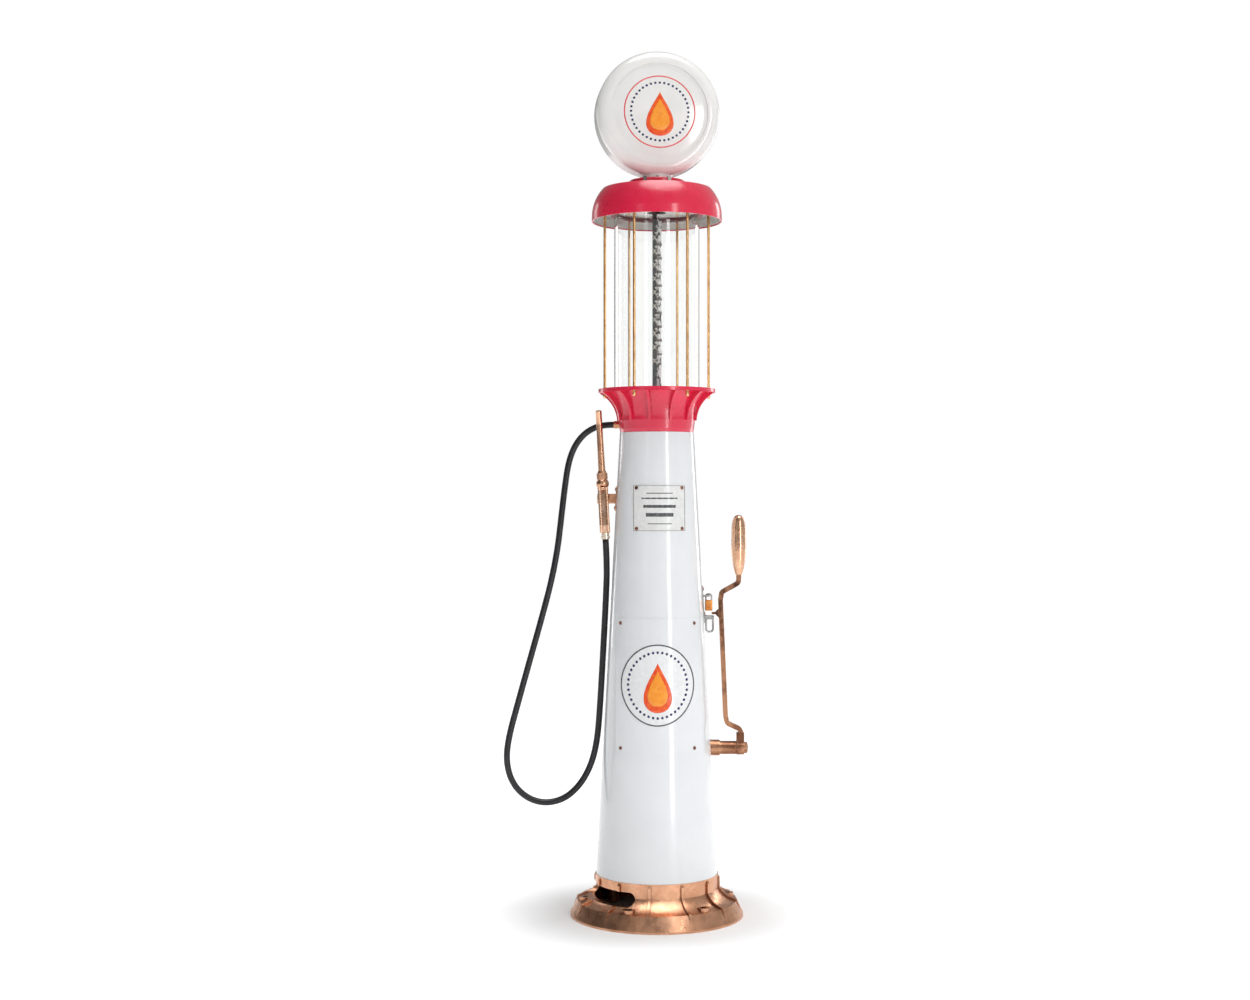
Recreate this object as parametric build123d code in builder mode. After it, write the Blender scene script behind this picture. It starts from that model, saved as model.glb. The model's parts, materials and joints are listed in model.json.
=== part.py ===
"""Visible gas pump: a hand lever pumps fuel up into a glass cylinder, and it runs down a hose to a nozzle.

Millimetres, +Z up, front towards -Y, lever on the +X side and hose on the -X side. The origin is the
centre of the base's underside. A bearing is an angle round the pump's axis, in degrees from the front
towards +X.
"""

from build123d import *
from math import atan, atan2, cos, degrees, pi, radians, sin, sqrt, tan
import os

os.makedirs("parts", exist_ok=True)

# ---- clearances ----
gap = 0.3  # between solids that don't touch
seat_gap = 0.15  # under the head of a screw on a curved wall
running_gap = 0.05  # radial, between a shaft and its bore

# ---- column ----
column_bottom_z = 143.0
column_top_z = 1639.0
column_bottom_r = 207.0
column_top_r = 126.0
column_wall = 3.0

# ---- base ----
base_r = 294.0
base_shoulder_r = 271.0
base_shoulder_z = 53.0
base_neck_foot_z = 95.0
base_wall = 12.0
base_neck_step = 2.0  # the neck stands this far outside the column
rib_count = 12
rib_bearing = -7.5
rib_height = 6.0
rib_thickness = 9.0
anchor_count = 6
anchor_bearing = -22.5
anchor_circle_r = 245.0
anchor_hole_r = 8.75
anchor_boss_r = 20.0
anchor_boss_z = 66.0
slot_z = 90.5
slot_height = 45.0
slot_bearings = (-95.0, -27.0)
spigot_height = 25.0
spigot_wall = 9.0

# ---- door, plates and their screws ----
door_z = 791.0
door_height = 452.0
door_width = 278.0
door_thickness = 2.0
door_corner_r = 14.0
door_overlap = 26.0  # how far the door covers the wall round its window
door_screw_x = 123.0
door_screw_inset_z = 19.0
emblem_z = 796.0
emblem_half_width = 124.5
emblem_half_height = 137.5
emblem_thickness = 0.8
plate_drop = 256.0  # heights called rise and drop are above and below the column's top
plate_bearing = 3.0
plate_width = 179.0
plate_height = 158.0
plate_thickness = 1.2
plate_corner_r = 5.0
plate_screw_x = 76.0
plate_screw_z = 68.0
screw_head_r = 6.0
screw_head_height = 3.2
screw_shank_r = 2.4
screw_length = 8.0

# ---- crown ----
crown_rim_r = 199.0
crown_rim_rise = 148.0
crown_rim_thickness = 12.0
crown_neck_r = 130.0
crown_neck_rise = 41.0
crown_wall = 8.0
crown_seat_drop = 13.0  # from the rim's top down to the glass's seat
crown_floor = 10.0
gusset_count = 12
gusset_thickness = 9.0

# ---- glass, rods and head ----
glass_r = 145.3
glass_wall = 7.0
glass_height = 608.0
gasket_thickness = 3.0
gasket_lap = 7.0  # how far the upper gasket's rim comes down round the glass
rod_count = 6
rod_bearing = -26.0
rod_circle_r = 177.5
rod_r = 4.75
nut_r = 7.0
nut_height = 9.0
acorn_height = 20.0
head_plate_thickness = 8.0

# ---- cap, collar and globe ----
cap_r = 222.0
cap_overlap = 30.0  # how far the cap's rim hangs below the head plate
cap_height = 116.0
cap_wall = 4.0
cap_hole_r = 32.0
liner_wall = 2.0
collar_r = 96.0
collar_height = 22.0
collar_wall = 36.0
clip_width = 12.0
clip_bearings = (-25.0, 25.0, 155.0, 205.0)
globe_rise = 245.0  # from the cap's top to the globe's middle
globe_r = 211.0
globe_thickness = 140.0
globe_edge_r = 38.0
globe_wall = 5.0
globe_turn = 7.0
lens_r = 165.0
lens_thickness = 4.0
lens_dome_r = 152.0
lens_rise = 9.0
foot_r = 55.0
foot_hole_r = 24.0
foot_screw_rise = 7.0
socket_r = 20.0
bulb_r = 30.0

# ---- gauge inside the glass ----
gauge_width = 15.0
gauge_thickness = 3.0
gauge_y = -11.0
marker_count = 10
marker_drop = 82.0  # from the glass's top down to the uppermost marker
marker_pitch = 46.6
overflow_r = 8.0
overflow_x = 8.0

# ---- lever side ----
shaft_z = 566.0
shaft_r = 14.0
hub_r = 22.5
hub_collar_r = 27.0
hub_collar_x = 214.0
hub_end_x = 270.5
boss_start_x = 271.0
boss_end_x = 297.0
boss_r = 24.0
bar_thickness = 16.0
bar_width = 24.0
bar_corner_r = 16.0
lug_z = 1024.5
lug_thickness = 7.0
lug_end_x = 187.0
grip_x = 279.0
grip_bottom_z = 1152.0
grip_top_z = 1359.0
grip_r = 25.0
grip_foot_r = 12.0
tang_r = 6.0

# ---- pinion, rack and pump ----
gear_module = 6.0
gear_teeth = 20
pressure_angle = 20.0
tooth_backlash = 0.35
gear_width = 24.0
rack_half_length = 62.0
rack_depth = 22.0
pump_y = 78.0
rod_radius = 9.0
bore_r = 45.0
cylinder_wall = 6.0
cylinder_bottom_z = 190.0
cylinder_top_z = 430.0
piston_z = 300.0
piston_height = 32.0
floor_plate_z = 444.0
floor_plate_thickness = 12.0
gland_rise = 6.0  # the rod gland stands this far above the floor plate
pedestal_x = -60.0
pedestal_thickness = 16.0
bush_wall = 4.0
suction_r = 24.15
delivery_r = 16.7
delivery_run = 44.0  # from the pump cylinder out to the delivery pipe's riser
return_place = (75.0, -60.0)
pipe_end_z = 6.0
valve_disc_r = 26.0
valve_disc_thickness = 5.0
valve_lift = 6.0

# ---- lock on the lever side ----
staple_x = 177.0
staple_z = 1084.0
staple_rod_r = 3.0
staple_half_width = 12.0
keeper_z = 1056.0
keeper_height = 128.0
keeper_width = 32.0
keeper_screw_heights = (1023.2, 1107.0)
bracket_thickness = 3.0
link_pin_z = 1010.0
link_rod_r = 3.5
link_half_width = 11.5
link_x = 180.0
link_drop = 49.0
link_pin_r = 2.5
link_eye_width = 8.0
padlock_width = 25.0
padlock_depth = 16.0
padlock_bottom_z = 1033.0
padlock_top_z = 1069.0
shackle_rod_r = 3.0
shackle_half_width = 9.5

# ---- nozzle side ----
nozzle_x = -185.0
nozzle_drop = 173.0
nozzle_lean = 3.1
ball_r = 22.0
body_r = 12.0
body_bore_r = 8.5
spout_foot_r = 12.0
spout_tip_r = 10.4
spout_wall = 1.8
spout_straight = 200.0
spout_tip_run = 34.0
spout_bend = 14.0
spout_bend_r = 60.0
spout_nut_r = 18.5
trigger_pivot_y = -26.0
trigger_pivot_h = -18.0
trigger_end_y = -44.0
trigger_end_h = -166.0
trigger_rail_r = 5.5
trigger_rail_x = 12.0
trigger_pin_r = 2.5
stem_r = 4.0
stem_h = -52.0
hook_arm_gap = 15.0
hook_arm_thickness = 6.0
hook_drop = 224.5
hook_height = 33.0
hook_plate_height = 84.0
hook_plate_width = 30.0
hook_screw_spacing = 64.0

# ---- hose ----
hose_r = 10.75
outlet_rise = 29.0
outlet_bearing = -105.0
outlet_end_r = 149.9
outlet_hex_r = 13.4
hose_line = [  # across, back and how far below the outlet
    (-144.9, 38.8, 0.0),
    (-182.4, 48.9, 0.0),
    (-221.0, 56.0, 12.0),
    (-255.0, 59.0, 36.0),
    (-284.0, 60.0, 76.0),
    (-304.0, 57.0, 133.0),
    (-316.0, 48.0, 220.0),
    (-327.0, 36.0, 318.0),
    (-339.0, 27.0, 425.0),
    (-360.0, 19.0, 535.0),
    (-392.0, 12.0, 658.0),
    (-433.0, 7.0, 804.0),
    (-474.0, 4.0, 952.0),
    (-506.0, 2.0, 1070.0),
    (-514.0, 0.0, 1150.0),
    (-494.0, -1.0, 1222.0),
    (-447.0, -2.0, 1272.0),
    (-383.0, -2.0, 1293.0),
    (-314.0, -2.0, 1277.0),
    (-260.0, -1.0, 1228.0),
    (-223.0, 0.0, 1160.0),
    (-203.0, 0.0, 1078.0),
    (-194.0, 0.0, 968.0),
    (-186.0, 0.0, 830.0),
    (-178.0, 0.0, 683.0),
    (-172.0, 0.0, 558.0),
    (-170.0, 0.0, 476.0),
    (-174.7, 0.0, 391.8),
]

# ---- what follows from the sizes above ----
plate_z = column_top_z - plate_drop
crown_rim_z = column_top_z + crown_rim_rise
crown_neck_z = column_top_z + crown_neck_rise
outlet_z = column_top_z + outlet_rise
nozzle_z = column_top_z - nozzle_drop
hook_z = column_top_z - hook_drop
hose_points = [(x, y, outlet_z - drop) for x, y, drop in hose_line]
column_lean = degrees(atan((column_bottom_r - column_top_r) / (column_top_z - column_bottom_z)))
neck_r = column_bottom_r + base_neck_step
glass_seat_z = crown_rim_z - crown_seat_drop
glass_bottom_z = glass_seat_z + gasket_thickness
glass_top_z = glass_bottom_z + glass_height
head_bottom_z = glass_top_z + gasket_thickness
head_top_z = head_bottom_z + head_plate_thickness
pitch_r = gear_module * gear_teeth / 2
cap_bottom_z = head_bottom_z - cap_overlap
cap_top_z = cap_bottom_z + cap_height
globe_z = cap_top_z + globe_rise
marker_top_z = glass_top_z - marker_drop
collar_top_z = cap_top_z + collar_height


def column_radius(z):
    """Outer radius of the tapered column at a height."""
    share = (z - column_bottom_z) / (column_top_z - column_bottom_z)
    return column_bottom_r + share * (column_top_r - column_bottom_r)


def outward(bearing):
    """Unit vector that points out from the axis at a bearing."""
    return Vector(sin(radians(bearing)), -cos(radians(bearing)), 0)


def radial_plane(bearing):
    """Vertical plane through the axis: x points out at the bearing and y points up."""
    out = outward(bearing)
    return Plane(origin=(0, 0, 0), x_dir=out, z_dir=out.cross(Vector(0, 0, 1)))


def facing_plane(bearing):
    """Vertical plane through the axis that looks out at the bearing: x points to the right and y up."""
    return Plane(origin=(0, 0, 0), x_dir=outward(bearing + 90), z_dir=outward(bearing))


def wall_plane(bearing, z, lift=0.0):
    """Plane on the column's wall at a bearing and height, raised by lift along the wall's normal."""
    out = outward(bearing)
    normal = out * cos(radians(column_lean)) + Vector(0, 0, 1) * sin(radians(column_lean))
    foot = out * column_radius(z) + Vector(0, 0, z)
    return Plane(origin=foot + normal * lift, x_dir=outward(bearing + 90), z_dir=normal)


def wall_section(bottom, top, start, end):
    """Corners of a band that follows the column's wall, from start to end outside its outer face."""
    low, high = column_radius(bottom), column_radius(top)
    return [(low + start, bottom), (low + end, bottom), (high + end, top), (high + start, top)]


def wall_patch(bearing, middle_z, width, height, corner_r, thickness, lift=0.0):
    """A plate bent to the column's wall, a rounded rectangle as seen from its bearing."""
    with BuildPart() as patch:
        with BuildSketch(Plane.XZ):
            with BuildLine():
                low, high = middle_z - height / 2 - 1, middle_z + height / 2 + 1
                Polyline(*wall_section(low, high, lift, lift + thickness), close=True)
            make_face()
        revolve(axis=Axis.Z)
        with BuildSketch(facing_plane(bearing)):
            with Locations((0, middle_z)):
                RectangleRounded(width, height, corner_r)
        extrude(amount=base_r, mode=Mode.INTERSECT)
    return patch.part


def bearing_at(x, z, lift=0.0):
    """Bearing at which the column's wall, raised by lift, reaches a sideways distance."""
    return degrees(atan2(x, sqrt((column_radius(z) + lift) ** 2 - x**2)))


def tube_radii(points):
    """The arc radius at each corner of a route, as large as its two runs allow."""
    radii = []
    for before, corner, after in zip(points, points[1:], points[2:]):
        into = Vector(*corner) - Vector(*before)
        out = Vector(*after) - Vector(*corner)
        turn = radians(into.get_angle(out))
        radii.append(0.45 * min(into.length, out.length) / tan(turn / 2))
    return radii


# ======================= base =======================

shoulder_arc = (235.0, 66.5)  # the middle of the base's concave sweep

with BuildPart() as base_casting:
    with BuildSketch(Plane.XZ):
        with BuildLine():
            Polyline((base_r, 0), (base_r, 7), (base_shoulder_r, base_shoulder_z))
            ThreePointArc((base_shoulder_r, base_shoulder_z), shoulder_arc, (neck_r, base_neck_foot_z))
            Polyline(
                (neck_r, base_neck_foot_z),
                (neck_r, column_bottom_z),
                (column_radius(column_bottom_z) - column_wall - gap, column_bottom_z),
                (
                    column_radius(column_bottom_z + spigot_height) - column_wall - gap,
                    column_bottom_z + spigot_height,
                ),
                (
                    column_radius(column_bottom_z + spigot_height) - column_wall - spigot_wall,
                    column_bottom_z + spigot_height,
                ),
                (neck_r - base_wall - base_neck_step, base_neck_foot_z),
            )
            ThreePointArc(
                (neck_r - base_wall - base_neck_step, base_neck_foot_z),
                (shoulder_arc[0] - 8, shoulder_arc[1] - 11),
                (base_shoulder_r - 12, base_shoulder_z - 11),
            )
            Polyline(
                (base_shoulder_r - 12, base_shoulder_z - 11),
                (base_r - base_wall, 7),
                (base_r - base_wall, 0),
                (base_r, 0),
            )
        make_face()
    revolve(axis=Axis.Z)
    for k in range(rib_count):
        with BuildSketch(radial_plane(rib_bearing + 360 / rib_count * k)):
            with BuildLine():
                Polyline(
                    (neck_r - 3, column_bottom_z - 4),
                    (neck_r + 1, column_bottom_z - 4),
                    (neck_r + rib_height, column_bottom_z - 12),
                    (neck_r + rib_height, base_neck_foot_z + 4),
                )
                ThreePointArc(
                    (neck_r + rib_height, base_neck_foot_z + 4),
                    (shoulder_arc[0] + 4, shoulder_arc[1] + 6),
                    (base_shoulder_r + 2, base_shoulder_z + 5),
                )
                Polyline(
                    (base_shoulder_r + 2, base_shoulder_z + 5),
                    (base_r - 8, 24),
                    (base_r - base_wall, 16),
                    (base_shoulder_r - 6, base_shoulder_z - 5),
                    (shoulder_arc[0] - 4, shoulder_arc[1] - 5),
                    (neck_r - 3, base_neck_foot_z - 8),
                    (neck_r - 3, column_bottom_z - 4),
                )
            make_face()
        extrude(amount=rib_thickness / 2, both=True)
    with BuildSketch(Plane.XY):
        with PolarLocations(anchor_circle_r, anchor_count, start_angle=anchor_bearing - 90):
            Circle(anchor_boss_r)
    extrude(amount=anchor_boss_z)
    with BuildSketch(Plane.XY):
        with PolarLocations(anchor_circle_r, anchor_count, start_angle=anchor_bearing - 90):
            Circle(anchor_hole_r)
    extrude(amount=anchor_boss_z + 20, mode=Mode.SUBTRACT)
    with BuildSketch(radial_plane(slot_bearings[0])):
        with Locations((neck_r + 10, slot_z)):
            Rectangle(60, slot_height)
    revolve(axis=Axis.Z, revolution_arc=slot_bearings[1] - slot_bearings[0], mode=Mode.SUBTRACT)
    for bearing in slot_bearings:
        with BuildSketch(facing_plane(bearing).offset(neck_r - 20)):
            with Locations((0, slot_z)):
                Circle(slot_height / 2)
        extrude(amount=60, mode=Mode.SUBTRACT)

# ======================= column, door, emblem, name plate and their screws =======================

door_screw_planes = []
for side in (-1, 1):
    for level in (-1, 1):
        height = door_z + level * (door_height / 2 - door_screw_inset_z)
        bearing = bearing_at(side * door_screw_x, height, door_thickness)
        door_screw_planes.append(wall_plane(bearing, height, door_thickness + seat_gap))

plate_screw_planes = []
for side in (-1, 1):
    for level in (-1, 1):
        height = plate_z + level * plate_screw_z
        bearing = plate_bearing + bearing_at(side * plate_screw_x, height, plate_thickness)
        plate_screw_planes.append(wall_plane(bearing, height, plate_thickness + seat_gap))

keeper_screw_planes = [wall_plane(90, z, bracket_thickness + seat_gap) for z in keeper_screw_heights]
hook_screw_planes = [
    wall_plane(-90, hook_z + way * hook_screw_spacing / 2, bracket_thickness + seat_gap) for way in (-1, 1)
]

with BuildPart() as round_screw:
    with BuildSketch(Plane.XY):
        Circle(screw_head_r)
    extrude(amount=screw_head_height)
    fillet(round_screw.faces().sort_by(Axis.Z)[-1].edges(), screw_head_height * 0.8)
    with BuildSketch(Plane.XY.offset(screw_head_height)):
        Rectangle(2 * screw_head_r, 1.4)
    extrude(amount=-1.5, mode=Mode.SUBTRACT)
    with BuildSketch(Plane.XY):
        Circle(screw_shank_r)
    extrude(amount=-screw_length)

with BuildPart() as screw_drill:
    with BuildSketch(Plane.XY.offset(3)):
        Circle(screw_shank_r + seat_gap)
    extrude(amount=-screw_length - 6)

with BuildPart() as column_shell:
    with BuildSketch(Plane.XZ):
        with BuildLine():
            Polyline(*wall_section(column_bottom_z, column_top_z, -column_wall, 0), close=True)
        make_face()
    revolve(axis=Axis.Z)
    with BuildSketch(Plane.XZ):
        with Locations((0, door_z)):
            RectangleRounded(door_width - 2 * door_overlap, door_height - 2 * door_overlap, door_corner_r)
    extrude(amount=base_r, mode=Mode.SUBTRACT)
    with BuildSketch(Plane.YZ):
        with Locations((0, shaft_z)):
            Circle(hub_collar_r + gap)
    extrude(amount=base_r, mode=Mode.SUBTRACT)
    with Locations(*door_screw_planes, *plate_screw_planes, *keeper_screw_planes, *hook_screw_planes):
        add(screw_drill.part, mode=Mode.SUBTRACT)

with BuildPart() as cover_screws:
    with Locations(*door_screw_planes, *plate_screw_planes):
        add(round_screw.part)

with BuildPart() as access_door:
    add(wall_patch(0, door_z, door_width, door_height, door_corner_r, door_thickness))
    with Locations(*door_screw_planes):
        add(screw_drill.part, mode=Mode.SUBTRACT)

with BuildPart() as column_emblem:
    with BuildSketch(Plane.XZ):
        with BuildLine():
            low, high = emblem_z - emblem_half_height - 2, emblem_z + emblem_half_height + 2
            lift = door_thickness
            Polyline(*wall_section(low, high, lift, lift + emblem_thickness), close=True)
        make_face()
    revolve(axis=Axis.Z)
    with BuildSketch(Plane.XZ):
        with Locations((0, emblem_z)):
            Ellipse(emblem_half_width, emblem_half_height)
    extrude(amount=base_r, mode=Mode.INTERSECT)

with BuildPart() as name_plate:
    add(wall_patch(plate_bearing, plate_z, plate_width, plate_height, plate_corner_r, plate_thickness))
    with Locations(*plate_screw_planes):
        add(screw_drill.part, mode=Mode.SUBTRACT)

# ======================= crown casting =======================

gusset_step = 7.0
drain_r_from_axis = 80.0
drain_pipe_r = 11.0
delivery_top = (-35.0, 50.0)
rim_under_z = crown_rim_z - crown_rim_thickness
flare_top_r = rod_circle_r - nut_r - 4

with BuildPart() as crown_casting:
    with BuildSketch(Plane.XZ):
        with BuildLine():
            Polyline(
                (column_radius(column_top_z) - 2, column_top_z),
                (crown_neck_r - 3, column_top_z + 12),
                (crown_neck_r, crown_neck_z),
            )
            ThreePointArc(
                (crown_neck_r, crown_neck_z),
                (crown_neck_r + 10, (crown_neck_z + rim_under_z) / 2 + 8),
                (flare_top_r, rim_under_z),
            )
            Polyline(
                (flare_top_r, rim_under_z),
                (crown_rim_r, rim_under_z),
                (crown_rim_r, crown_rim_z),
                (glass_r + 3, crown_rim_z),
                (glass_r + 3, glass_seat_z),
                (0, glass_seat_z),
                (0, glass_seat_z - crown_floor),
                (crown_neck_r + 4, glass_seat_z - crown_floor),
                (crown_neck_r - crown_wall, crown_neck_z + 30),
                (crown_neck_r - crown_wall, crown_neck_z),
                (column_radius(column_top_z) - column_wall - 9, column_top_z - 20),
                (column_radius(column_top_z) - column_wall - gap, column_top_z - 20),
                (column_radius(column_top_z) - column_wall - gap, column_top_z),
                (column_radius(column_top_z) - 2, column_top_z),
            )
        make_face()
    revolve(axis=Axis.Z)
    for k in range(gusset_count):
        with BuildSketch(radial_plane(rod_bearing - 360 / gusset_count / 2 + 360 / gusset_count * k)):
            with BuildLine():
                Polyline((crown_neck_r - 4, crown_neck_z), (crown_neck_r + gusset_step, crown_neck_z))
                ThreePointArc(
                    (crown_neck_r + gusset_step, crown_neck_z),
                    (crown_neck_r + 24, (crown_neck_z + rim_under_z) / 2 + 6),
                    (crown_rim_r - 3, rim_under_z - 2),
                )
                Polyline(
                    (crown_rim_r - 3, rim_under_z - 2),
                    (crown_rim_r - 3, rim_under_z + 4),
                    (glass_r + 6, rim_under_z + 4),
                    (crown_neck_r - 4, crown_neck_z),
                )
            make_face()
        extrude(amount=gusset_thickness / 2, both=True)
    with BuildSketch(Plane.XY.offset(crown_rim_z)):
        with PolarLocations(rod_circle_r, rod_count, start_angle=rod_bearing - 90):
            Circle(rod_r + gap)
    extrude(amount=-crown_rim_thickness - 6, mode=Mode.SUBTRACT)
    with BuildSketch(Plane.XY.offset(glass_seat_z)):
        with Locations((overflow_x, 0)):
            Circle(overflow_r)
        with Locations(delivery_top):
            Circle(delivery_r)
        with Locations(tuple(outward(outlet_bearing) * drain_r_from_axis)[:2]):
            Circle(drain_pipe_r)
    extrude(amount=-crown_floor, mode=Mode.SUBTRACT)
    with BuildSketch(facing_plane(outlet_bearing).offset(crown_neck_r - 25)):
        with Locations((0, outlet_z)):
            Circle(drain_pipe_r)
    extrude(amount=60, mode=Mode.SUBTRACT)

# ======================= glass, gaskets, rods and head =======================

with BuildPart() as glass_cylinder:
    with BuildSketch(Plane.XY.offset(glass_bottom_z)):
        Circle(glass_r)
        Circle(glass_r - glass_wall, mode=Mode.SUBTRACT)
    extrude(amount=glass_height)

with BuildPart() as glass_gasket_lower:
    with BuildSketch(Plane.XY.offset(glass_seat_z)):
        Circle(glass_r + 2)
        Circle(glass_r - glass_wall - 4, mode=Mode.SUBTRACT)
    extrude(amount=gasket_thickness)

with BuildPart() as glass_gasket_upper:
    with BuildSketch(Plane.XY.offset(glass_top_z)):
        Circle(glass_r + 12)
        Circle(glass_r - glass_wall - 4, mode=Mode.SUBTRACT)
    extrude(amount=gasket_thickness)
    with BuildSketch(Plane.XY.offset(glass_top_z - gasket_lap)):
        Circle(glass_r + 12)
        Circle(glass_r, mode=Mode.SUBTRACT)
    extrude(amount=gasket_lap)

head_edge_r = cap_r - cap_wall - 1.5 - liner_wall

with BuildPart() as cylinder_head:
    with BuildSketch(Plane.XY.offset(head_bottom_z)):
        Circle(head_edge_r)
        Circle(cap_hole_r, mode=Mode.SUBTRACT)
        with PolarLocations(rod_circle_r, rod_count, start_angle=rod_bearing - 90):
            Circle(rod_r + gap, mode=Mode.SUBTRACT)
    extrude(amount=head_plate_thickness)

with BuildPart() as tie_rods:
    with BuildSketch(Plane.XY.offset(rim_under_z - acorn_height + 6)):
        with PolarLocations(rod_circle_r, rod_count, start_angle=rod_bearing - 90):
            Circle(rod_r)
    extrude(amount=head_top_z + nut_height + 4 - (rim_under_z - acorn_height + 6))

dome_r = nut_r * cos(radians(30)) - 0.3  # the acorn's dome, just inside the nut's flats

with BuildPart() as acorn_nut:
    with BuildSketch(Plane.XY):
        RegularPolygon(radius=nut_r, side_count=6)
    extrude(amount=-nut_height)
    with BuildSketch(Plane.XZ):
        with BuildLine():
            Polyline(
                (0, -acorn_height),
                (0, -nut_height + 1),
                (dome_r, -nut_height + 1),
                (dome_r, dome_r - acorn_height),
            )
            ThreePointArc(
                (dome_r, dome_r - acorn_height),
                (dome_r * cos(pi / 4), dome_r - acorn_height - dome_r * sin(pi / 4)),
                (0, -acorn_height),
            )
        make_face()
    revolve(axis=Axis.Z)
    with BuildSketch(Plane.XY):
        Circle(rod_r)
    extrude(amount=-acorn_height + 6, mode=Mode.SUBTRACT)

with BuildPart() as hex_nut:
    with BuildSketch(Plane.XY):
        RegularPolygon(radius=nut_r + 1, side_count=6)
        Circle(rod_r, mode=Mode.SUBTRACT)
    extrude(amount=nut_height)

with BuildPart() as rod_nuts_lower:
    with Locations((0, 0, rim_under_z)):
        with PolarLocations(rod_circle_r, rod_count, start_angle=rod_bearing - 90):
            add(acorn_nut.part)

with BuildPart() as rod_nuts_upper:
    with Locations((0, 0, head_top_z)):
        with PolarLocations(rod_circle_r, rod_count, start_angle=rod_bearing - 90):
            add(hex_nut.part)

# ======================= cap, liner, collar and globe =======================

with BuildPart() as dome_cap:
    with BuildSketch(Plane.XZ):
        with BuildLine():
            Line((cap_r, cap_bottom_z), (cap_r - 1, cap_bottom_z + 28))
            ThreePointArc(
                (cap_r - 1, cap_bottom_z + 28), (cap_r - 14, cap_top_z - 40), (cap_r - 37, cap_top_z - 6)
            )
            Polyline(
                (cap_r - 37, cap_top_z - 6),
                (collar_r, cap_top_z),
                (cap_hole_r, cap_top_z),
                (cap_hole_r, cap_top_z - cap_wall),
                (collar_r, cap_top_z - cap_wall),
                (cap_r - 38, cap_top_z - 6 - cap_wall),
            )
            ThreePointArc(
                (cap_r - 38, cap_top_z - 6 - cap_wall),
                (cap_r - 14 - cap_wall, cap_top_z - 42),
                (cap_r - 1 - cap_wall, cap_bottom_z + 28),
            )
            Polyline(
                (cap_r - 1 - cap_wall, cap_bottom_z + 28),
                (cap_r - cap_wall, cap_bottom_z),
                (cap_r, cap_bottom_z),
            )
        make_face()
    revolve(axis=Axis.Z)

with BuildPart() as cap_liner:
    with BuildSketch(Plane.XY.offset(cap_bottom_z + 4)):
        Circle(head_edge_r + liner_wall)
        Circle(head_edge_r, mode=Mode.SUBTRACT)
    extrude(amount=head_bottom_z - cap_bottom_z - 4)

with BuildPart() as globe_collar:
    with BuildSketch(Plane.XY.offset(cap_top_z)):
        Circle(collar_r)
        Circle(collar_r - collar_wall, mode=Mode.SUBTRACT)
    extrude(amount=collar_height)
    fillet(globe_collar.faces().sort_by(Axis.Z)[-1].edges().sort_by(SortBy.RADIUS)[-1], 4)
    with BuildSketch(Plane.XY.offset(cap_top_z)):
        Circle(collar_r - collar_wall)
        Circle(cap_hole_r, mode=Mode.SUBTRACT)
    extrude(amount=6)

with BuildPart() as collar_clips:
    for bearing in clip_bearings:
        with BuildSketch(facing_plane(bearing).offset(collar_r - 8)):
            with Locations((0, cap_top_z + collar_height / 2)):
                Rectangle(clip_width, collar_height + 6)
        extrude(amount=10)
    with BuildSketch(Plane.XY.offset(cap_top_z)):
        Circle(collar_r)
    extrude(amount=collar_height, mode=Mode.SUBTRACT)
    with BuildSketch(Plane.XY.offset(cap_top_z - 10)):
        Circle(cap_r)
    extrude(amount=10, mode=Mode.SUBTRACT)

face_normal = outward(globe_turn)
globe_centre = Vector(0, 0, globe_z)
globe_plane = Plane(origin=globe_centre, x_dir=(0, 0, 1), z_dir=Vector(0, 0, 1).cross(face_normal))
globe_axis = Axis(origin=globe_centre, direction=face_normal)
half_globe = globe_thickness / 2
lens_rim_y = half_globe - 3  # the lens seats this far from the globe's middle
foot_top_z = globe_z - globe_r + 42

with BuildPart() as globe_body:
    with BuildSketch(globe_plane) as globe_outline:
        with Locations((globe_r / 2, 0)):
            Rectangle(globe_r, globe_thickness)
        outer = globe_outline.vertices().group_by(Axis.Z)[-1]
        fillet(outer, globe_edge_r)
    revolve(axis=globe_axis)
    with BuildSketch(Plane.XY.offset(collar_top_z)):
        Circle(foot_r)
    extrude(amount=foot_top_z - collar_top_z)
    with BuildSketch(globe_plane) as globe_hollow:
        with Locations(((globe_r - globe_wall) / 2, 0)):
            Rectangle(globe_r - globe_wall, globe_thickness - 2 * globe_wall)
        inner = globe_hollow.vertices().group_by(Axis.Z)[-1]
        fillet(inner, globe_edge_r - globe_wall)
    revolve(axis=globe_axis, mode=Mode.SUBTRACT)
    with BuildSketch(globe_plane):
        with Locations((lens_r / 2, 0)):
            Rectangle(lens_r, globe_thickness + 2)
    revolve(axis=globe_axis, mode=Mode.SUBTRACT)
    with BuildSketch(Plane.XY.offset(collar_top_z)):
        Circle(foot_hole_r)
    extrude(amount=60, mode=Mode.SUBTRACT)
    with BuildSketch(Plane.XY.offset(globe_z + globe_r - 10)):
        Circle(3.2)
    extrude(amount=12, mode=Mode.SUBTRACT)
    with BuildSketch(facing_plane(0).offset(foot_hole_r - 4)):
        with Locations((0, collar_top_z + foot_screw_rise)):
            Circle(2.7)
    extrude(amount=foot_r, mode=Mode.SUBTRACT)


def lens_dome(r, rim_z):
    """Point on a lens's spherical face, at a distance from its axis, above a rim at a height."""
    sphere_r = (lens_dome_r**2 + lens_rise**2) / (2 * lens_rise)
    return r, rim_z + lens_rise - sphere_r + sqrt(sphere_r**2 - r**2)


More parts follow.
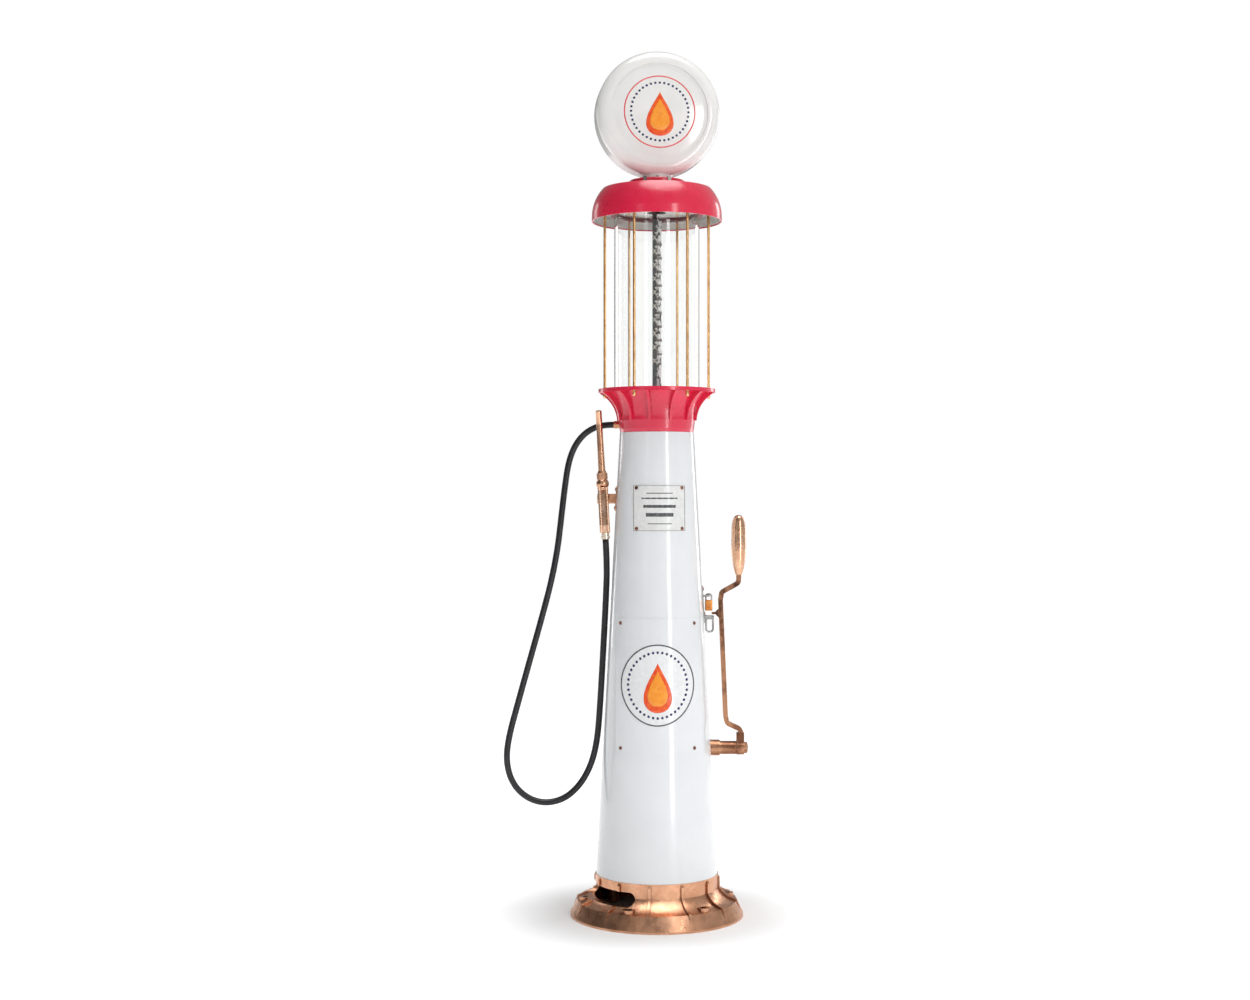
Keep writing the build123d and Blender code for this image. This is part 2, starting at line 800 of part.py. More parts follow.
with BuildPart() as lens_form:
    with BuildSketch(Plane.XZ):
        with BuildLine():
            rim = lens_r - gap
            Line(lens_dome(0, 0), lens_dome(0, -lens_thickness))
            ThreePointArc(
                lens_dome(0, -lens_thickness),
                lens_dome(lens_dome_r / 2, -lens_thickness),
                (lens_dome_r, -lens_thickness),
            )
            Polyline((lens_dome_r, -lens_thickness), (rim, -lens_thickness), (rim, 0), (lens_dome_r, 0))
            ThreePointArc((lens_dome_r, 0), lens_dome(lens_dome_r / 2, 0), lens_dome(0, 0))
        make_face()
    revolve(axis=Axis.Z)

with BuildPart() as globe_lens_front:
    with Locations(Plane(origin=globe_centre + face_normal * lens_rim_y, z_dir=face_normal)):
        add(lens_form.part)

with BuildPart() as globe_lens_rear:
    with Locations(Plane(origin=globe_centre - face_normal * lens_rim_y, z_dir=-face_normal)):
        add(lens_form.part)

with BuildPart() as globe_bolts:
    with BuildSketch(Plane.XY.offset(globe_z + globe_r + seat_gap)):
        RegularPolygon(radius=6.5, side_count=6)
    extrude(amount=6)
    with BuildSketch(Plane.XY.offset(globe_z + globe_r - globe_wall - 6)):
        Circle(2.9)
    extrude(amount=globe_wall + 8)
    with BuildSketch(facing_plane(0).offset(foot_r + seat_gap + 0.3)):
        with Locations((0, collar_top_z + foot_screw_rise)):
            Circle(4)
    extrude(amount=3)
    with BuildSketch(facing_plane(0).offset(foot_hole_r + 6)):
        with Locations((0, collar_top_z + foot_screw_rise)):
            Circle(2.4)
    extrude(amount=foot_r - foot_hole_r - 4)

socket_base_z = cap_top_z + 6
socket_top_z = collar_top_z + 80

with BuildPart() as lamp_socket:
    with BuildSketch(Plane.XY.offset(socket_base_z)):
        Circle(socket_r + 8)
        Circle(6, mode=Mode.SUBTRACT)
    extrude(amount=5)
    with BuildSketch(Plane.XY.offset(socket_base_z + 5)):
        Circle(socket_r)
        Circle(socket_r - 3, mode=Mode.SUBTRACT)
    extrude(amount=socket_top_z - socket_base_z - 5)

bulb_z = socket_top_z + 52

with BuildPart() as lamp_bulb:
    with BuildSketch(Plane.XZ):
        with BuildLine():
            Polyline(
                (0, bulb_z + bulb_r),
                (0, socket_top_z - 30),
                (13, socket_top_z - 30),
                (13, socket_top_z + 6),
                (0.6 * bulb_r, bulb_z - 0.8 * bulb_r),
            )
            ThreePointArc((0.6 * bulb_r, bulb_z - 0.8 * bulb_r), (bulb_r, bulb_z), (0, bulb_z + bulb_r))
        make_face()
    revolve(axis=Axis.Z)

# ======================= gauge, overflow and other pipes =======================

with BuildPart() as gauge_strip:
    with BuildSketch(Plane.XY.offset(glass_seat_z)):
        with Locations((-gauge_width / 2, gauge_y)):
            Rectangle(gauge_width, gauge_thickness)
    extrude(amount=head_bottom_z - glass_seat_z)

with BuildPart() as gauge_markers:
    for k in range(marker_count):
        mark_z = marker_top_z - marker_pitch * k
        with BuildSketch(Plane.XZ.offset(-gauge_y + gauge_thickness / 2)):
            for side in (-1, 1):
                with BuildLine():
                    x, z = -gauge_width / 2, mark_z
                    Polyline(
                        (x, z - side * 1.2),
                        (x - 6.4, z + side * 6.4),
                        (x - 6.4, z + side * 9.0),
                        (x, z + side * 2.4),
                        (x + 6.4, z + side * 9.0),
                        (x + 6.4, z + side * 6.4),
                        close=True,
                    )
                make_face()
        extrude(amount=0.8)

with BuildPart() as gauge_clips:
    for k in range(marker_count - 1):
        clip_z = marker_top_z - marker_pitch * (k + 0.5)
        with BuildSketch(Plane.XY.offset(clip_z - 4)):
            with Locations((overflow_x, 0)):
                Circle(overflow_r + 1.6)
            with Locations((-2, gauge_y + gauge_thickness / 2 + 2)):
                Rectangle(18, 3)
            with Locations((overflow_x, 0)):
                Circle(overflow_r, mode=Mode.SUBTRACT)
        extrude(amount=8)

overflow_route = [
    (overflow_x, 0, head_bottom_z - 22),
    (overflow_x, 0, column_top_z + 61),
    (return_place[0], return_place[1], column_top_z - 79),
    (return_place[0], return_place[1], pipe_end_z),
]
delivery_x = -bore_r - cylinder_wall - delivery_run
delivery_route = [
    (-bore_r - cylinder_wall, pump_y, cylinder_top_z - 22),
    (delivery_x, pump_y, cylinder_top_z - 22),
    (delivery_x, pump_y, column_top_z - 509),
    (delivery_top[0], delivery_top[1], column_top_z - 309),
    (delivery_top[0], delivery_top[1], glass_seat_z),
]
drain_top = outward(outlet_bearing) * drain_r_from_axis
outlet_foot = outward(outlet_bearing) * (crown_neck_r - 12)
drain_route = [
    (drain_top.X, drain_top.Y, glass_seat_z),
    (drain_top.X, drain_top.Y, outlet_z),
    (outlet_foot.X, outlet_foot.Y, outlet_z),
]
suction_route = [(0, pump_y, cylinder_bottom_z - 14), (0, pump_y, pipe_end_z)]


def pipe_path(route, bend):
    """A path of straight runs joined by arcs of one radius."""
    with BuildLine() as path:
        if len(route) == 2:
            Line(*route)
        else:
            FilletPolyline(*route, radius=bend)
    return path.line


def pipe_section(route, radius, wall):
    """The ring at the start of a route, square to its first run."""
    start, second = Vector(*route[0]), Vector(*route[1])
    with BuildSketch(Plane(origin=start, z_dir=second - start)) as section:
        Circle(radius)
        Circle(radius - wall, mode=Mode.SUBTRACT)
    return section.sketch


with BuildPart() as overflow_pipe:
    sweep(pipe_section(overflow_route, overflow_r, 1.5), path=pipe_path(overflow_route, 40))

with BuildPart() as delivery_pipe:
    sweep(pipe_section(delivery_route, delivery_r, 3), path=pipe_path(delivery_route, 40))

with BuildPart() as dispense_pipe:
    sweep(pipe_section(drain_route, drain_pipe_r, 2), path=pipe_path(drain_route, 24))

with BuildPart() as suction_pipe:
    sweep(pipe_section(suction_route, suction_r, 3.7), path=pipe_path(suction_route, 0))

with BuildPart() as hose_outlet:
    outlet_plane = facing_plane(outlet_bearing).offset(crown_neck_r - 12)
    with BuildSketch(outlet_plane):
        with Locations((0, outlet_z)):
            Circle(drain_pipe_r)
            Circle(hose_r - 3, mode=Mode.SUBTRACT)
    extrude(amount=outlet_end_r - crown_neck_r + 12)
    with BuildSketch(facing_plane(outlet_bearing).offset(crown_neck_r + 1)):
        with Locations((0, outlet_z)):
            RegularPolygon(radius=outlet_hex_r, side_count=6)
            Circle(drain_pipe_r, mode=Mode.SUBTRACT)
    extrude(amount=9)
    with BuildSketch(facing_plane(outlet_bearing).offset(crown_neck_r + 10)):
        with Locations((0, outlet_z)):
            Circle(13)
            Circle(drain_pipe_r, mode=Mode.SUBTRACT)
    extrude(amount=outlet_end_r - crown_neck_r - 10)

# ======================= pump inside the column =======================

plate_edge_r = column_radius(floor_plate_z) - column_wall - 1.5

with BuildPart() as pump_cylinder:
    with BuildSketch(Plane.XY.offset(cylinder_bottom_z)):
        with Locations((0, pump_y)):
            Circle(bore_r + cylinder_wall)
            Circle(bore_r, mode=Mode.SUBTRACT)
    extrude(amount=cylinder_top_z - cylinder_bottom_z)
    with BuildSketch(Plane.YZ.offset(-bore_r - cylinder_wall - 1)):
        with Locations((pump_y, cylinder_top_z - 22)):
            Circle(delivery_r - 3)
    extrude(amount=cylinder_wall + 6, mode=Mode.SUBTRACT)

with BuildPart() as pump_head:
    with BuildSketch(Plane.XY.offset(cylinder_top_z)):
        with Locations((0, pump_y)):
            Circle(bore_r + cylinder_wall + 10)
    extrude(amount=floor_plate_z - cylinder_top_z)
    with BuildSketch(Plane.XY.offset(floor_plate_z)):
        with Locations((0, pump_y)):
            Circle(rod_radius + 7)
    extrude(amount=floor_plate_thickness + gland_rise)
    with BuildSketch(Plane.XY.offset(cylinder_top_z)):
        with Locations((0, pump_y)):
            Circle(rod_radius + running_gap)
    extrude(amount=80, mode=Mode.SUBTRACT)

with BuildPart() as foot_valve:
    with BuildSketch(Plane.XY.offset(cylinder_bottom_z - 14)):
        with Locations((0, pump_y)):
            Circle(bore_r + cylinder_wall + 8)
    extrude(amount=14)
    with BuildSketch(Plane.XY.offset(cylinder_bottom_z)):
        with Locations((0, pump_y)):
            Circle(bore_r - gap)
    extrude(amount=6)
    with BuildSketch(Plane.XY.offset(cylinder_bottom_z - 14)):
        with Locations((0, pump_y)):
            Circle(valve_disc_r - 8)
    extrude(amount=20, mode=Mode.SUBTRACT)

with BuildPart() as foot_valve_disc:
    with BuildSketch(Plane.XY.offset(cylinder_bottom_z + 6 + 0.05)):
        with Locations((0, pump_y)):
            Circle(valve_disc_r)
    extrude(amount=valve_disc_thickness)
    with BuildSketch(Plane.XY.offset(cylinder_bottom_z + 6 + 0.05)):
        with Locations((0, pump_y)):
            Circle(valve_disc_r - 11)
    extrude(amount=-9)

with BuildPart() as piston:
    with BuildSketch(Plane.XY.offset(piston_z)):
        with Locations((0, pump_y)):
            Circle(bore_r - running_gap)
            with PolarLocations(22, 6):
                Circle(5, mode=Mode.SUBTRACT)
    extrude(amount=piston_height)
    with BuildSketch(Plane.XY.offset(piston_z)):
        with Locations((0, pump_y)):
            Circle(rod_radius)
    extrude(amount=piston_height, mode=Mode.SUBTRACT)
    with BuildSketch(Plane.XY.offset(piston_z + piston_height / 2 - 3)):
        with Locations((0, pump_y)):
            Circle(bore_r + 1)
            Circle(bore_r - 3, mode=Mode.SUBTRACT)
    extrude(amount=6, mode=Mode.SUBTRACT)

with BuildPart() as piston_valve_disc:
    with BuildSketch(Plane.XY.offset(piston_z + piston_height + 0.05)):
        with Locations((0, pump_y)):
            Circle(valve_disc_r + 4)
            Circle(rod_radius + running_gap, mode=Mode.SUBTRACT)
    extrude(amount=valve_disc_thickness)

half_pitch = pi * gear_module / 2
flank = tan(radians(pressure_angle))
addendum = 0.9 * gear_module
dedendum = 1.2 * gear_module
rack_pitch_y = pitch_r
rack_teeth = 2 * int(rack_half_length / (2 * half_pitch)) - 1

with BuildPart() as rack_rod:
    root_y = rack_pitch_y + dedendum
    with BuildSketch(Plane.YZ.offset(-gear_width / 2 + 2)):
        with Locations(((root_y + rack_pitch_y + rack_depth) / 2, shaft_z)):
            Rectangle(rack_pitch_y + rack_depth - root_y, 2 * rack_half_length)
        for k in range(-rack_teeth, rack_teeth + 1, 2):
            tooth_z = shaft_z + k * half_pitch
            half = half_pitch / 2 - tooth_backlash
            with BuildLine():
                Polyline(
                    (root_y + 1, tooth_z + half + dedendum * flank),
                    (root_y, tooth_z + half + dedendum * flank),
                    (rack_pitch_y - addendum, tooth_z + half - addendum * flank),
                    (rack_pitch_y - addendum, tooth_z - half + addendum * flank),
                    (root_y, tooth_z - half - dedendum * flank),
                    (root_y + 1, tooth_z - half - dedendum * flank),
                    close=True,
                )
            make_face()
    extrude(amount=gear_width - 4)
    with BuildSketch(Plane.XY.offset(piston_z - 6)):
        with Locations((0, pump_y)):
            Circle(rod_radius)
    extrude(amount=shaft_z - rack_half_length + 6 - piston_z + 6)
    with BuildSketch(Plane.XY.offset(piston_z - 8)):
        with Locations((0, pump_y)):
            RegularPolygon(radius=rod_radius + 5, side_count=6)
    extrude(amount=8)


def involute_tooth():
    """One gear tooth on the x axis, its flanks involutes of the base circle."""
    base_circle_r = pitch_r * cos(radians(pressure_angle))
    pitch_roll = tan(radians(pressure_angle)) - radians(pressure_angle)
    half_angle = (half_pitch / 2 - tooth_backlash) / pitch_r
    upper = []
    for step in range(7):
        r = base_circle_r + (pitch_r + addendum - base_circle_r) * step / 6
        roll = sqrt(max((r / base_circle_r) ** 2 - 1, 0))
        angle = half_angle + pitch_roll - (roll - atan(roll))
        upper.append((r * cos(angle), r * sin(angle)))
    lower = [(x, -y) for x, y in reversed(upper)]
    root = (pitch_r - dedendum - 2) * cos(half_angle), (pitch_r - dedendum - 2) * sin(half_angle)
    with BuildSketch() as tooth:
        with BuildLine():
            Spline(*upper)
            Line(upper[-1], lower[0])
            Spline(*lower)
            Polyline(lower[-1], (root[0], -root[1]), root, upper[0])
        make_face()
    return tooth.sketch


with BuildPart() as pinion:
    with BuildSketch(Plane.YZ.offset(-gear_width / 2)):
        with Locations((0, shaft_z)):
            Circle(pitch_r - dedendum)
            with PolarLocations(0, gear_teeth):
                add(involute_tooth())
            Circle(shaft_r, mode=Mode.SUBTRACT)
    extrude(amount=gear_width)
    for face_x, way in ((-gear_width / 2, 1), (gear_width / 2, -1)):
        with BuildSketch(Plane.YZ.offset(face_x)):
            with Locations((0, shaft_z)):
                Circle(pitch_r - dedendum - 8)
                Circle(shaft_r + 11, mode=Mode.SUBTRACT)
        extrude(amount=way * 6, mode=Mode.SUBTRACT)

guide_y = rack_pitch_y + rack_depth + running_gap
bush_r = shaft_r + running_gap + bush_wall

with BuildPart() as pump_frame:
    with BuildSketch(Plane.XY.offset(floor_plate_z)):
        Circle(plate_edge_r)
        with Locations((0, pump_y)):
            Circle(rod_radius + 7 + gap, mode=Mode.SUBTRACT)
        with Locations((delivery_x, pump_y)):
            Circle(delivery_r + 4, mode=Mode.SUBTRACT)
        with Locations(return_place):
            Circle(overflow_r + 6, mode=Mode.SUBTRACT)
        with Locations((0, -95)):
            RectangleRounded(120, 90, 20, mode=Mode.SUBTRACT)
        with Locations((-110, -20)):
            Circle(30, mode=Mode.SUBTRACT)
        with Locations((120, 30)):
            Circle(34, mode=Mode.SUBTRACT)
    extrude(amount=floor_plate_thickness)
    with BuildSketch(Plane.YZ.offset(pedestal_x - pedestal_thickness / 2)):
        with BuildLine():
            Polyline(
                (-34, floor_plate_z + 6),
                (34, floor_plate_z + 6),
                (22, shaft_z),
                (-22, shaft_z),
                close=True,
            )
        make_face()
        with Locations((0, shaft_z)):
            Circle(bush_r + 8)
            Circle(bush_r, mode=Mode.SUBTRACT)
    extrude(amount=pedestal_thickness)
    with BuildSketch(Plane.YZ.offset(-gear_width / 2)):
        with BuildLine():
            Polyline(
                (guide_y + 14, floor_plate_z + 6),
                (guide_y + 30, floor_plate_z + 6),
                (guide_y + 22, shaft_z + 60),
                (guide_y, shaft_z + 60),
                (guide_y, shaft_z - 4),
                (guide_y + 9, shaft_z - 10),
                (guide_y + 14, shaft_z - 78),
                close=True,
            )
        make_face()
    extrude(amount=gear_width)

with BuildPart() as shaft_bush:
    with BuildSketch(Plane.YZ.offset(pedestal_x - pedestal_thickness / 2 - 3)):
        with Locations((0, shaft_z)):
            Circle(bush_r)
            Circle(shaft_r + running_gap, mode=Mode.SUBTRACT)
    extrude(amount=pedestal_thickness + 6)

# ======================= lever, its shaft and hub =======================

wall_x = column_radius(shaft_z)

with BuildPart() as shaft_hub:
    with BuildSketch(Plane.YZ.offset(wall_x - 26)):
        with Locations((0, shaft_z)):
            Circle(hub_collar_r)
    extrude(amount=hub_collar_x - wall_x + 26)
    with BuildSketch(Plane.YZ.offset(hub_collar_x)):
        with Locations((0, shaft_z)):
            Circle(hub_r)
    extrude(amount=hub_end_x - hub_collar_x)
    chamfer(shaft_hub.faces().sort_by(Axis.X)[-1].edges(), 1.5)
    with BuildSketch(Plane.YZ.offset(wall_x - 38)):
        with Locations((0, shaft_z)):
            Circle(hub_collar_r + 16)
    extrude(amount=12)
    with BuildSketch(Plane.YZ.offset(wall_x - 40)):
        with Locations((0, shaft_z)):
            Circle(shaft_r + running_gap)
    extrude(amount=hub_end_x - wall_x + 42, mode=Mode.SUBTRACT)

with BuildPart() as lever_shaft:
    with BuildSketch(Plane.YZ.offset(pedestal_x - 20)):
        with Locations((0, shaft_z)):
            Circle(shaft_r)
    extrude(amount=boss_end_x + 14 - pedestal_x + 20)
    chamfer(lever_shaft.faces().sort_by(Axis.X)[-1].edges(), 2)

bar_route = [
    (boss_end_x - 10, shaft_z + 26),
    (boss_end_x - 11, shaft_z + 62),
    (239, shaft_z + 84),
    (234, 677),
    (217, 1069),
    (221, 1096),
    (grip_x, 1128),
    (grip_x, grip_bottom_z + 4 - gap),
]

with BuildPart() as lever_bar:
    with BuildSketch(Plane.XZ):
        with BuildLine():
            FilletPolyline(*bar_route, radius=bar_corner_r)
        trace(line_width=bar_thickness)
    extrude(amount=bar_width / 2, both=True)
    with BuildSketch(Plane.YZ.offset(boss_start_x)):
        with BuildLine():
            Polyline(
                (-boss_r + 3, shaft_z),
                (boss_r - 3, shaft_z),
                (bar_width / 2, shaft_z + 52),
                (-bar_width / 2, shaft_z + 52),
                close=True,
            )
        make_face()
        with Locations((0, shaft_z)):
            Circle(boss_r)
    extrude(amount=boss_end_x - boss_start_x)
    with BuildSketch(Plane.YZ.offset(boss_start_x - 1)):
        with Locations((0, shaft_z)):
            Circle(shaft_r)
    extrude(amount=boss_end_x - boss_start_x + 2, mode=Mode.SUBTRACT)
    with BuildSketch(Plane.XZ):
        with BuildLine():
            bar_face_x = 217 + (1069 - lug_z) * 17 / 392 - bar_thickness / 2
            Polyline(
                (lug_end_x, lug_z - lug_thickness / 2),
                (bar_face_x - 12, lug_z - lug_thickness / 2),
                (bar_face_x + 2, lug_z - lug_thickness / 2 - 14),
                (bar_face_x + 2, lug_z + lug_thickness / 2 + 14),
                (bar_face_x - 12, lug_z + lug_thickness / 2),
                (lug_end_x, lug_z + lug_thickness / 2),
                close=True,
            )
        make_face()
    extrude(amount=10, both=True)
    with BuildSketch(Plane.XY.offset(lug_z - 10)):
        with Locations((lug_end_x + 9, 0)):
            Circle(4.5)
    extrude(amount=20, mode=Mode.SUBTRACT)
    with BuildSketch(Plane.XY.offset(grip_bottom_z)):
        with Locations((grip_x, 0)):
            Circle(tang_r)
    extrude(amount=grip_top_z - grip_bottom_z - 30)

with BuildPart() as lever_grip:
    with BuildSketch(Plane.XZ):
        with BuildLine():
            Line((grip_x, grip_bottom_z + 4), (grip_x + grip_foot_r, grip_bottom_z + 4))
            Spline(
                (grip_x + grip_foot_r, grip_bottom_z + 4),
                (grip_x + grip_r - 4, grip_bottom_z + 44),
                (grip_x + grip_r, grip_bottom_z + 98),
                (grip_x + grip_r - 1, grip_top_z - 60),
                (grip_x + grip_r - 6, grip_top_z - 16),
                (grip_x, grip_top_z),
                tangents=((0.3, 1), (-1, 0)),
            )
            Line((grip_x, grip_top_z), (grip_x, grip_bottom_z + 4))
        make_face()
    revolve(axis=Axis((grip_x, 0, grip_bottom_z), (0, 0, 1)))
    with BuildSketch(Plane.XY.offset(grip_bottom_z)):
        with Locations((grip_x, 0)):
            Circle(bar_thickness / 2 + bar_width / 2)
    extrude(amount=4, mode=Mode.SUBTRACT)
    with BuildSketch(Plane.XY.offset(grip_bottom_z)):
        with Locations((grip_x, 0)):
            Circle(tang_r)
    extrude(amount=grip_top_z - grip_bottom_z - 30, mode=Mode.SUBTRACT)

with BuildPart() as shaft_nut:
    with BuildSketch(Plane.YZ.offset(boss_end_x)):
        with Locations((0, shaft_z)):
            RegularPolygon(radius=20, side_count=6)
            Circle(shaft_r, mode=Mode.SUBTRACT)
    extrude(amount=11)

# ======================= lever lock =======================

link_block_half_height = 7.0
keeper_foot_x = column_radius(link_pin_z - link_block_half_height)

with BuildPart() as lever_keeper:
    add(wall_patch(90, keeper_z, keeper_width, keeper_height, 6, bracket_thickness))
    for side in (-1, 1):
        with BuildSketch(Plane.YZ.offset(column_radius(staple_z))):
            with Locations((side * staple_half_width, staple_z)):
                Circle(staple_rod_r)
        extrude(amount=staple_x - column_radius(staple_z))
    with BuildSketch(Plane.XZ.offset(-staple_half_width - staple_rod_r)):
        with Locations((staple_x, staple_z)):
            Circle(staple_rod_r)
    extrude(amount=2 * (staple_half_width + staple_rod_r))
    with BuildSketch(Plane.XY.offset(link_pin_z - link_block_half_height)):
        block_end_x = link_x + link_half_width - link_eye_width / 2 - gap
        block_start_x = link_x - link_half_width + link_eye_width / 2 + gap
        with Locations(((keeper_foot_x + block_end_x) / 2, 11)):
            Rectangle(block_end_x - keeper_foot_x, 8)
        with Locations(((block_start_x + block_end_x) / 2, 4)):
            Rectangle(block_end_x - block_start_x, 22)
    extrude(amount=2 * link_block_half_height)
    with BuildSketch(Plane.YZ.offset(link_x - 20)):
        with Locations((0, link_pin_z)):
            Circle(link_pin_r + running_gap)
    extrude(amount=40, mode=Mode.SUBTRACT)
    with Locations(*keeper_screw_planes):
        add(screw_drill.part, mode=Mode.SUBTRACT)

with BuildPart() as hasp_link:
    with BuildSketch(Plane.XY.offset(link_pin_z)):
        with Locations((link_x - link_half_width, 0)):
            Circle(link_rod_r)
    with BuildLine() as link_path:
        FilletPolyline(
            (link_x - link_half_width, 0, link_pin_z),
            (link_x - link_half_width, 0, link_pin_z - link_drop),
            (link_x + link_half_width, 0, link_pin_z - link_drop),
            (link_x + link_half_width, 0, link_pin_z),
            radius=link_half_width - 1.5,
        )
    sweep(path=link_path.line)
    for side in (-1, 1):
        with BuildSketch(Plane.YZ.offset(link_x + side * link_half_width - link_eye_width / 2)):
            with Locations((0, link_pin_z)):
                Circle(6.5)
        extrude(amount=link_eye_width)
    with BuildSketch(Plane.YZ.offset(link_x - link_half_width - link_eye_width / 2)):
        with Locations((0, link_pin_z)):
            Circle(link_pin_r)
    extrude(amount=2 * link_half_width + link_eye_width)

shackle_arc_z = staple_z + staple_rod_r + gap - (shackle_half_width - shackle_rod_r)

with BuildPart() as padlock_shackle:
    with BuildSketch(Plane.XY.offset(padlock_top_z - 24)):
        with Locations((staple_x - shackle_half_width, 0)):
            Circle(shackle_rod_r)
    with BuildLine() as shackle_path:
        Line(
            (staple_x - shackle_half_width, 0, padlock_top_z - 24),
            (staple_x - shackle_half_width, 0, shackle_arc_z),
        )
        ThreePointArc(
            (staple_x - shackle_half_width, 0, shackle_arc_z),
            (staple_x, 0, shackle_arc_z + shackle_half_width),
            (staple_x + shackle_half_width, 0, shackle_arc_z),
        )
        Line(
            (staple_x + shackle_half_width, 0, shackle_arc_z),
            (staple_x + shackle_half_width, 0, padlock_top_z - 8),
        )
    sweep(path=shackle_path.line)

with BuildPart() as padlock_body:
    with BuildSketch(Plane.XY.offset(padlock_bottom_z)):
        with Locations((staple_x, 0)):
            RectangleRounded(padlock_width, padlock_depth, 5)
    extrude(amount=padlock_top_z - padlock_bottom_z)
    fillet(padlock_body.faces().sort_by(Axis.Z)[-1].edges(), 1.8)
    fillet(padlock_body.faces().sort_by(Axis.Z)[0].edges(), 1.2)
    with BuildSketch(Plane.XY.offset(padlock_top_z)):
        for side in (-1, 1):
            with Locations((staple_x + side * shackle_half_width, 0)):
                Circle(shackle_rod_r + 0.08)
    extrude(amount=-34, mode=Mode.SUBTRACT)
    with BuildSketch(Plane.XY.offset(padlock_bottom_z)):
        with Locations((staple_x, 0)):
            Circle(4.5)
    extrude(amount=1, mode=Mode.SUBTRACT)


# ======================= nozzle, trigger and hook =======================

lean = radians(nozzle_lean)
nozzle_up = Vector(-sin(lean), 0, cos(lean))
nozzle_right = Vector(cos(lean), 0, sin(lean))
nozzle_centre = Vector(nozzle_x, 0, nozzle_z)
nozzle_side = Plane(origin=nozzle_centre, x_dir=(0, 1, 0), z_dir=nozzle_right)  # x back, y along the nozzle


def nozzle_plane(height):
    """Plane across the nozzle at a height above the middle of its ball: x right, y towards the back."""
    return Plane(origin=nozzle_centre + nozzle_up * height, x_dir=nozzle_right, z_dir=nozzle_up)


body_foot_h = -168.0
collar_top_h = -148.0
nut_foot_h = 14.0
nut_top_h = 44.0

with BuildPart() as nozzle_body:
    with BuildSketch(nozzle_side):
        with BuildLine():
            Polyline((0, body_foot_h), (16, body_foot_h), (16, collar_top_h - 3), (body_r, collar_top_h + 2))
            Line((body_r, collar_top_h + 2), (body_r, -24))
            Line((body_r, -24), (ball_r - 5, -14))
            ThreePointArc((ball_r - 5, -14), (ball_r, 0), (ball_r - 6, 13))
            Polyline((ball_r - 6, 13), (ball_r - 6, nut_foot_h), (0, nut_foot_h), (0, body_foot_h))
        make_face()
    revolve(axis=Axis(nozzle_centre, nozzle_up))
    with BuildSketch(nozzle_plane(nut_foot_h)):
        Circle(body_r + 1)
    extrude(amount=24)
    with BuildSketch(nozzle_side.offset(-5)):
        with Locations((trigger_pivot_y / 2 - 2, trigger_pivot_h)):
            RectangleRounded(-trigger_pivot_y + 8, 11, 5)
    extrude(amount=10)
    stem_plane = Plane(origin=nozzle_centre + nozzle_up * stem_h, x_dir=nozzle_right, z_dir=(0, -1, 0))
    with BuildSketch(stem_plane.offset(6)):
        Circle(stem_r + 4)
    extrude(amount=12)
    with BuildSketch(nozzle_plane(body_foot_h)):
        Circle(body_bore_r)
    extrude(amount=nut_foot_h + 24 - body_foot_h, mode=Mode.SUBTRACT)
    with BuildSketch(nozzle_side.offset(-8)):
        with Locations((trigger_pivot_y, trigger_pivot_h)):
            Circle(trigger_pin_r + running_gap)
    extrude(amount=16, mode=Mode.SUBTRACT)
    with BuildSketch(stem_plane):
        Circle(stem_r + running_gap)
    extrude(amount=20, mode=Mode.SUBTRACT)

with BuildPart() as spout_nut:
    with BuildSketch(nozzle_plane(nut_foot_h)):
        RegularPolygon(radius=spout_nut_r, side_count=6)
    extrude(amount=nut_top_h - nut_foot_h - 8)
    with BuildSketch(nozzle_plane(nut_top_h - 8)):
        Circle(spout_nut_r - 3)
    extrude(amount=8, taper=14)
    with BuildSketch(nozzle_plane(nut_foot_h)):
        Circle(body_r + 1)
    extrude(amount=24, mode=Mode.SUBTRACT)
    with BuildSketch(nozzle_plane(nut_foot_h + 24)):
        Circle(spout_foot_r)
    extrude(amount=20, mode=Mode.SUBTRACT)

spout_foot_h = nut_foot_h + 24.0
bend_turn = radians(spout_bend)


def bend_point(turn):
    """A point on the middle line of the spout's bend, after a turn in radians."""
    return (-spout_bend_r * (1 - cos(turn)), spout_straight + spout_bend_r * sin(turn))


def spout_solid(foot_r, tip_r):
    """The spout's outer or inner form: a cone, then a bend towards the front and a straight tip."""
    with BuildPart() as form:
        with BuildSketch(nozzle_side):
            with BuildLine():
                Polyline(
                    (0, spout_foot_h),
                    (foot_r, spout_foot_h),
                    (tip_r, spout_straight),
                    (0, spout_straight),
                    close=True,
                )
            make_face()
        revolve(axis=Axis(nozzle_centre, nozzle_up))
        with BuildLine(nozzle_side) as bend:
            ThreePointArc(bend_point(0), bend_point(bend_turn / 2), bend_point(bend_turn))
        with BuildSketch(nozzle_plane(spout_straight)):
            Circle(tip_r)
        sweep(path=bend.line)
        with BuildSketch(Plane(origin=bend.line @ 1, x_dir=nozzle_right, z_dir=bend.line % 1)):
            Circle(tip_r)
        extrude(amount=spout_tip_run)
    return form.part


with BuildPart() as nozzle_spout:
    add(spout_solid(spout_foot_r, spout_tip_r))
    add(spout_solid(spout_foot_r - spout_wall, spout_tip_r - spout_wall), mode=Mode.SUBTRACT)

trigger_slope = atan2(trigger_end_y - trigger_pivot_y, trigger_end_h - trigger_pivot_h)
trigger_route = [
    (trigger_pivot_y, trigger_pivot_h + 5),
    (trigger_pivot_y, trigger_pivot_h - 6),
    (trigger_end_y + 1, trigger_end_h + 26),
    (trigger_end_y + 2, trigger_end_h),
]

